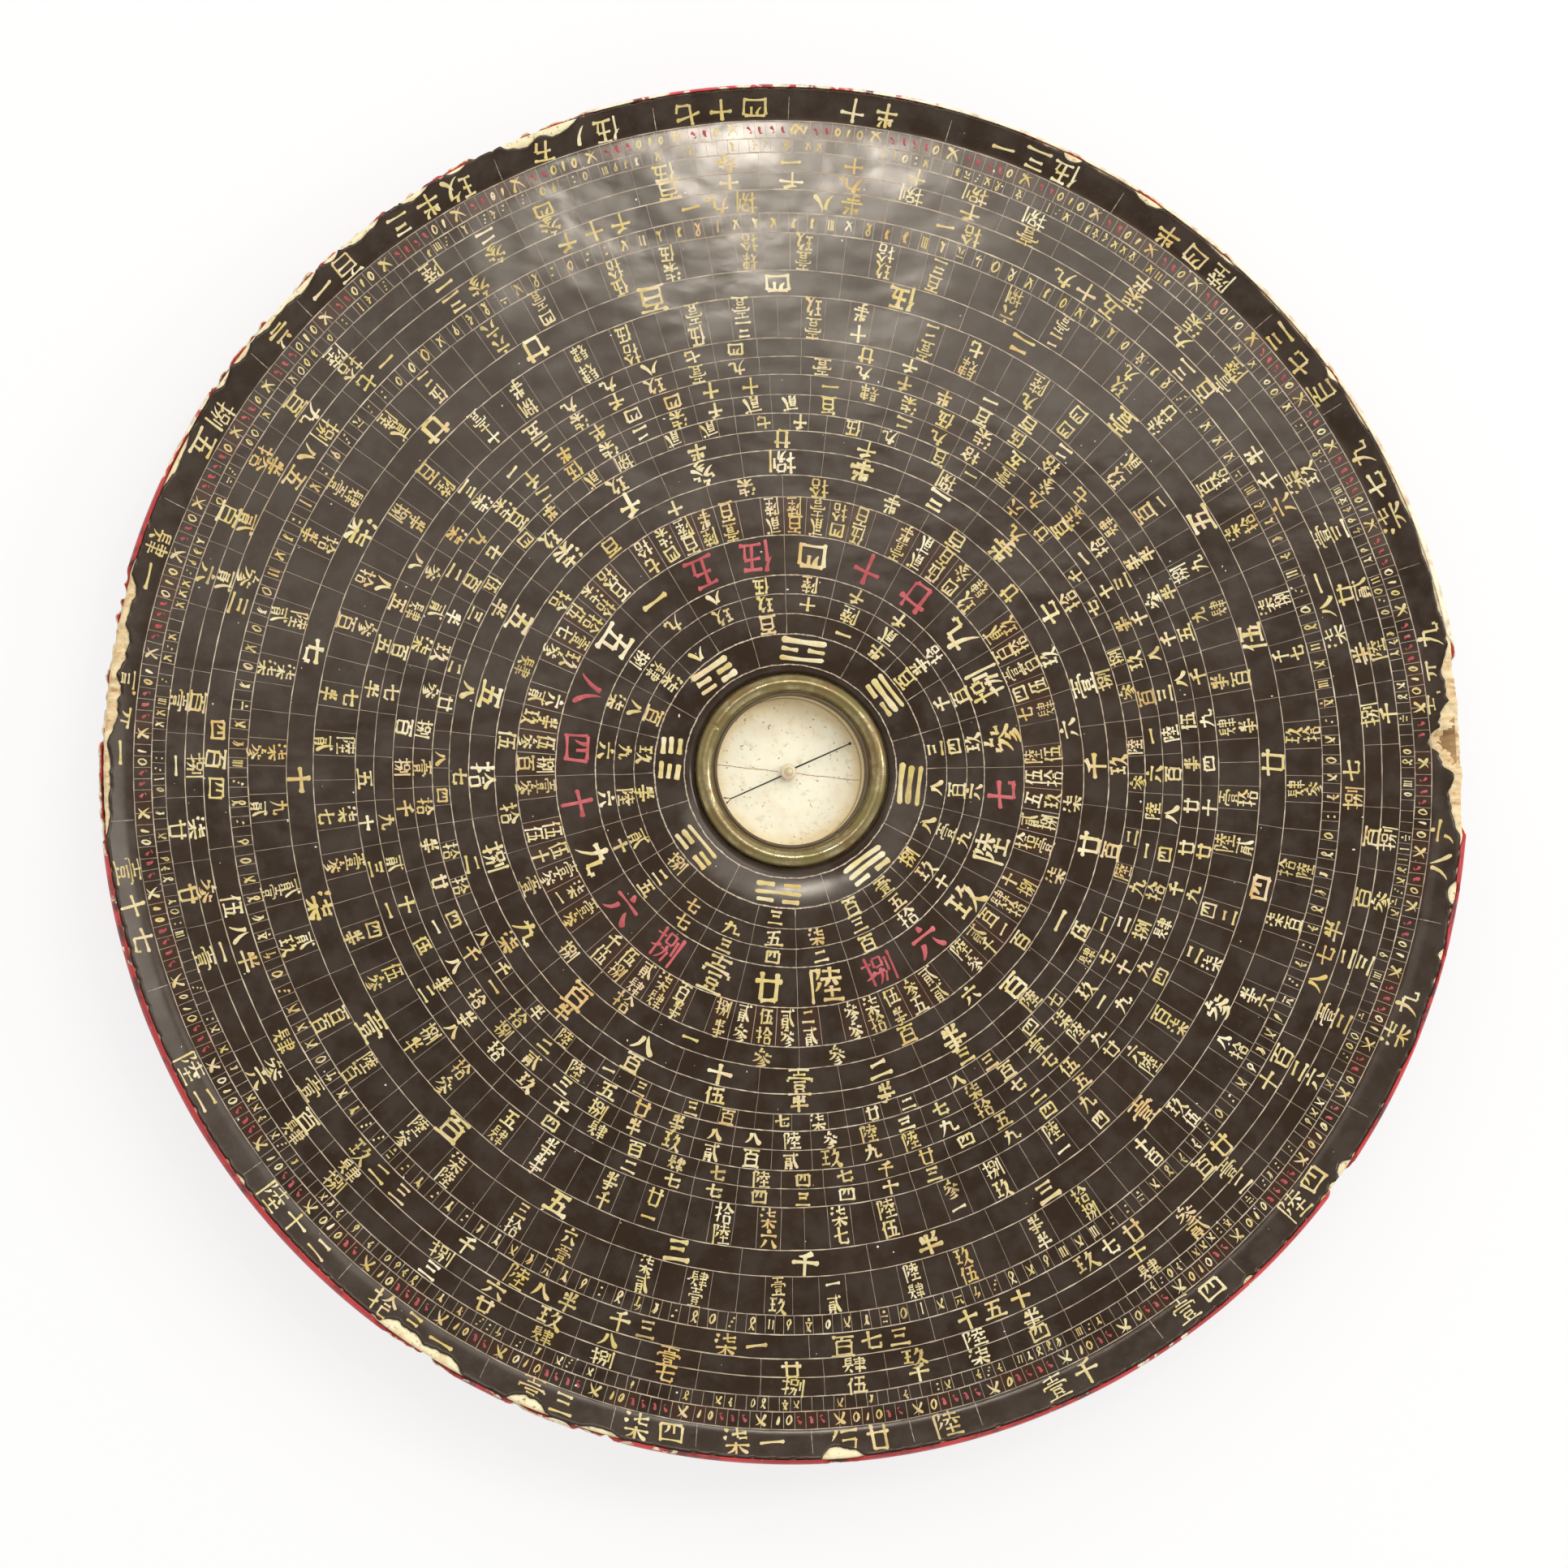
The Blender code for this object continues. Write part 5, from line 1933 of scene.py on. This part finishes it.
    def floor_line(self) -> Shape:
        """The fine inked line across the floor, thin and a little broken.

        Returns:
            An open film.
        """
        count = 60
        along = np.linspace(-self.chamber + 0.0006, self.chamber - 0.0006, count)
        keep = np.abs(along) > 0.0019
        turn = math.radians(self.line_at)
        way = np.array([math.sin(turn), math.cos(turn)])
        side = np.array([-way[1], way[0]])
        wander = 0.00006 * np.sin(along * 800) + 0.00004 * np.sin(along * 2300 + 1)
        half = 0.00009 * (1 + 0.4 * np.sin(along * 5100 + 2))
        shapes = []
        for part in (keep & (along < 0), keep & (along > 0)):
            middle = along[part, None] * way + wander[part, None] * side
            offset = half[part, None] * side
            plan = np.stack([middle - offset, middle, middle + offset], 1)
            height = np.full(plan.shape[:2], self.floor_top) + np.array([0.0, 0.00004, 0.0])
            points = np.concatenate([plan, height[..., None]], -1).reshape(-1, 3)
            shade = np.repeat(0.5 + 0.3 * np.sin(along[part] * 1300), 3)
            shapes.append(Shape(points, [grid_faces(int(part.sum()), 3)], {"shade": shade}))
        return joined(shapes).outward(True)

    def build(self) -> None:
        """Makes the pieces of the well."""
        place("bezel", self.bezel(), BEZEL_BRASS, "bezel_brass", ("bezel_ring",))
        place("split_ring", self.split_ring(), RING_BRASS, "ring_brass", ("retaining_ring",))
        place("cover_glass", self.glass(), GLASS, "clear_glass", ("glass_cover",))
        place("cup", self.cup(), LINED_BRASS, "cup_brass", ("well_cup",), smooth=False)
        place("card_floor", self.floor(), CARD, "floor_card", ("well_floor",))
        place("floor_ink_line", self.floor_line(), INK, "floor_card")


@dataclass(frozen=True)
class Pivot:
    """Boss, pin, needle and cap."""

    well: NeedleWell
    pin_rise: float = 0.0030
    boss_radius: float = 0.0017
    boss_height: float = 0.0005
    needle_drop: float = 0.0012
    needle_thickness: float = 0.0004
    reach: float = 0.0164
    needle_at: float = 65.7
    eye_radius: float = 0.0019
    eye_bore: float = 0.00135
    half_width: float = 0.00018
    offset: float = 0.00022

    @property
    def tip(self) -> float:
        """Height of the pin's point."""
        return self.well.floor_top + self.pin_rise

    def boss(self) -> Shape:
        """A low rounded boss round the pin.

        Returns:
            A closed shape.
        """
        bore = self.well.pin_hole
        low = self.well.floor_top + self.well.dial.seam
        arc = np.radians(np.linspace(0, 90, 9))
        rise = 0.4 * self.boss_height + 0.6 * self.boss_height * np.sin(arc)
        crown = np.stack([0.0009 + (self.boss_radius - 0.0009) * np.cos(arc), low + rise], -1)
        profile = [[(bore, low), (self.boss_radius, low)], crown, [(bore, low + self.boss_height)]]
        return lathe(np.vstack(profile), 64)

    def pin(self) -> Shape:
        """A pin turned to a point with a hollow-ground taper.

        Returns:
            A closed shape.
        """
        seam = self.well.dial.seam
        stem = self.well.pin_hole - seam
        share = np.linspace(0, 1, 10)
        radius = stem * (1 - share) ** 0.7 + 0.00004 * share
        taper = np.stack([radius, self.tip - 0.0015 * (1 - share)], -1)
        foot = [(0, self.well.cup_floor + seam), (stem, self.well.cup_floor + seam)]
        return lathe(np.vstack([foot, taper, [(0, self.tip)]]), 48)

    def turned_to_needle(self, shape: Shape) -> Shape:
        """Turns a shape made along +X to the needle's angle and lifts it to the needle's height."""
        turn = math.radians(90 - self.needle_at)
        x, y, z = shape.points.T
        points = [x * math.cos(turn) - y * math.sin(turn), x * math.sin(turn) + y * math.cos(turn)]
        shape.points = np.stack(points + [z + self.tip - self.needle_drop], -1)
        return shape

    def bar(self, stations: Array, side: Array, half: Array, thick: Array | float) -> Shape:
        """A thin bar along a line.

        Args:
            stations: places along +X.
            side: how far the line lies to the side.
            half: half its width.
            thick: half its thickness.

        Returns:
            A closed shape.
        """
        zero = np.zeros_like(stations)
        centres = np.stack([stations, side + zero, zero], -1)
        across = np.stack([zero, half + zero, zero], -1)
        up = np.stack([zero, zero, thick + zero], -1)
        return loft(centres, across, up)

    def needle(self) -> tuple[Shape, Shape]:
        """Two thin bars that meet a flat eye, a bead at the head and a forked tail.

        Returns:
            The bars with bead and fork, and the eye: closed shapes.
        """
        half = self.needle_thickness / 2
        share = np.linspace(0, 1, 12)
        inner = self.eye_bore + 0.0002
        head = inner + (self.reach - 0.0006 - inner) * share
        width = self.half_width * (1.15 - 0.35 * share)
        front = self.bar(head, self.offset * (1 - 0.3 * share), width, half * 0.95)
        bead_turn = np.linspace(0.25, np.pi - 0.05, 9)
        swell = np.sin(bead_turn)
        bead_at = self.reach - 0.0004 - 0.0004 * np.cos(bead_turn)
        bead = self.bar(bead_at, np.full(9, self.offset * 0.7), 0.00036 * swell, half * swell)
        side = -self.offset * (1 - 0.2 * share[::-1])
        width = self.half_width * (0.8 + 0.35 * share)
        rear = self.bar(-head[::-1] + 0.0008, side, width, half * 0.95)
        fork = []
        for way in (-1, 1):
            prong = np.linspace(0, 1, 9)
            x = -self.reach + 0.0014 - 0.0013 * prong
            y = way * 0.00068 * prong**0.7 - self.offset * 0.8 * (1 - prong)
            knob = 0.00010 + 0.00013 * np.exp(-((prong - 0.85) / 0.16) ** 2) - 0.00006 * (prong == 1)
            fork.append(self.bar(x[::-1], y[::-1], knob[::-1], half * 0.8))
        bore, radius = self.eye_bore, self.eye_radius
        ring = [(bore, -half * 0.8), (bore + 0.0001, -half)]
        ring += [(radius - 0.0001, -half), (radius, -half * 0.7)]
        ring += [(out, -height) for out, height in ring[::-1]]
        eye = lathe(np.array(ring), 72)
        bars = joined([front, bead, rear] + fork)
        return self.turned_to_needle(bars), self.turned_to_needle(eye)

    def cap(self) -> Shape:
        """The turned cap: dome, flange over the eye, skirt through it and hollow cone below.

        Returns:
            A closed shape.
        """
        arc = np.radians(np.linspace(90, 5, 9))
        dome = np.stack([0.0010 * np.cos(arc), -0.0004 + 0.0014 * np.sin(arc)], -1)
        dome[0] = (0.0, 0.0010)
        flange = [
            (0.00115, -0.00036), (0.0016, -0.0004), (0.0017, -0.0005), (0.0017, -0.0006), (0.0016, -0.0007)
        ]
        skirt = [(0.0010, -0.0007), (0.0010, -0.0016), (0.0009, -0.0017), (0.0008, -0.0017), (0.0, 0.0003)]
        shape = lathe(np.vstack([dome, flange, skirt]), 64)
        shape.points[:, 2] += self.tip
        return shape

    def build(self) -> None:
        """Makes the pieces of the pivot and the needle."""
        place("pin_boss", self.boss(), CUP_BRASS, "boss_brass", ("pivot_boss",))
        place("pin", self.pin(), STEEL, "pivot_steel", ("pivot_pin",))
        bars, eye = self.needle()
        place("needle_bars", bars, IRON, "needle_iron", ("needle",), "needle_body")
        place("needle_eye", eye, CAP_BRASS, "cap_brass", (), "needle_body")
        place("cap", self.cap(), CAP_BRASS, "cap_brass", ("needle_cap",), "needle_body")


# Studio

@dataclass(frozen=True)
class Lamp:
    """A soft lamp that looks at the middle of the dial."""

    name: str
    at: Point
    size: tuple[float, float]
    power: float
    colour: Colour = (1.0, 0.985, 0.95)
    gleams: bool = True

    def build(self) -> None:
        """Hangs the lamp."""
        data = bpy.data.lights.new(self.name, "AREA")
        data.shape = "RECTANGLE"
        data.size, data.size_y = self.size
        data.energy = self.power
        data.color = self.colour
        lamp = bpy.data.objects.new(self.name, data)
        bpy.context.scene.collection.objects.link(lamp)
        lamp.location = self.at
        way = -np.array(self.at) / np.linalg.norm(self.at)
        side = np.cross(way, (0.0, 1.0, 0.0))
        side /= np.linalg.norm(side)
        up = np.cross(side, way)
        lamp.rotation_euler = Matrix(np.stack([side, up, -way], -1).tolist()).to_euler()
        lamp.visible_camera = False
        lamp.visible_glossy = self.gleams


@dataclass(frozen=True)
class Studio:
    """A pale floor, soft lamps and the camera."""

    floor_size: float = 6.0
    floor_drop: float = 0.0002
    floor_glow: float = 0.78
    sky: float = 0.84
    zenith: float = 0.38
    lens: float = 155.46
    camera_at: Point = (-0.22442, -0.11404, 1.5681)
    camera_axes: tuple[Point, Point, Point] = (
        (0.98986, -0.00516, 0.14202),
        (-0.00495, 0.99749, 0.07073),
        (-0.14202, -0.07072, 0.98733),
    )
    lamps: tuple[Lamp, ...] = (
        Lamp("ceiling_lamp", (0.178, 0.366, 1.395), (0.09, 0.08), 1.17),
        Lamp("pale_ceiling", (0.50, 0.42, 1.43), (0.68, 0.40), 2.75),
        Lamp("left_ceiling", (-0.16, 0.24, 1.43), (0.62, 0.24), 0.74),
        Lamp("side_window", (1.75, 0.45, 1.50), (0.70, 0.50), 9.0, colour=(1.0, 0.99, 0.97)),
        Lamp("soft_key", (0.05, 1.9, 1.9), (2.4, 1.8), 25.5, gleams=False),
    )

    def floor(self) -> None:
        """A white floor that keeps the shadow of the disc."""
        half = self.floor_size / 2
        mesh = bpy.data.meshes.new("studio_floor")
        corners = [(-half, -half, 0), (half, -half, 0), (half, half, 0), (-half, half, 0)]
        mesh.from_pydata(corners, [], [(0, 1, 2, 3)])
        floor = bpy.data.objects.new("studio_floor", mesh)
        bpy.context.scene.collection.objects.link(floor)
        floor.location.z = -self.floor_drop
        tree = Tree("studio_white")
        tree.dress(Base_Color=(0.86, 0.86, 0.86), Roughness=0.9, Specular_IOR_Level=0.1)
        glow = tree.add("ShaderNodeEmission", {"Color": (1.0, 1.0, 1.0, 1.0), "Strength": 1.0})
        path = tree.add("ShaderNodeLightPath").outputs
        seen = tree.math("MAXIMUM", path["Is Camera Ray"], path["Is Transmission Ray"])
        share = tree.math("MULTIPLY", seen, self.floor_glow)
        both = tree.add("ShaderNodeMixShader", {0: share, 1: tree.shader.outputs[0], 2: glow.outputs[0]})
        tree.feed(tree.nodes["Material Output"].inputs["Surface"], both.outputs[0])
        mesh.materials.append(tree.made)

    def sky_light(self) -> None:
        """A plain pale sky, white where the camera sees it."""
        world = bpy.data.worlds.new("studio_sky")
        bpy.context.scene.world = world
        world.use_nodes = True
        nodes = world.node_tree.nodes
        links = world.node_tree.links
        shade = nodes["Background"]
        path = nodes.new("ShaderNodeLightPath")
        way = nodes.new("ShaderNodeTexCoord")
        height = nodes.new("ShaderNodeSeparateXYZ")
        links.new(way.outputs["Generated"], height.inputs[0])
        dim = nodes.new("ShaderNodeMapRange")
        dim.interpolation_type = "SMOOTHSTEP"
        links.new(height.outputs["Z"], dim.inputs["Value"])
        limits = {"From Min": 0.70, "From Max": 0.97, "To Min": self.sky, "To Max": self.zenith}
        for name, value in limits.items():
            dim.inputs[name].default_value = value
        level = nodes.new("ShaderNodeMapRange")
        links.new(path.outputs["Is Camera Ray"], level.inputs["Value"])
        links.new(dim.outputs[0], level.inputs["To Min"])
        level.inputs["To Max"].default_value = 1.0
        links.new(level.outputs[0], shade.inputs["Strength"])
        shade.inputs["Color"].default_value = (1.0, 0.985, 0.955, 1.0)

    def camera(self) -> None:
        """The camera, where the outline and the rings of the dial put it."""
        data = bpy.data.cameras.new("camera")
        data.lens = self.lens
        data.sensor_width = 36.0
        data.clip_start, data.clip_end = 0.05, 20.0
        camera = bpy.data.objects.new("camera", data)
        bpy.context.scene.collection.objects.link(camera)
        stand = Matrix(np.transpose(self.camera_axes).tolist()).to_4x4()
        stand.translation = self.camera_at
        camera.matrix_world = stand
        bpy.context.scene.camera = camera

    def build(self) -> None:
        """Makes the studio."""
        self.floor()
        self.sky_light()
        for lamp in self.lamps:
            lamp.build()
        self.camera()
        bpy.context.scene.view_settings.view_transform = "Standard"


def main() -> None:
    """Builds the compass and the studio."""
    logging.basicConfig(level=logging.INFO, format="%(message)s")
    dial = DialShape()
    well = NeedleWell(dial)
    Studio().build()
    for part in (LacqueredDisc(dial), DialMarks(dial), well, Pivot(well)):
        part.build()
    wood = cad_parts["wood_disc"]
    wood.data.materials.clear()
    wood.data.materials.append(WOOD.material())
    log.info("wood_disc: turned wood")


if __name__ == "__main__":
    main()
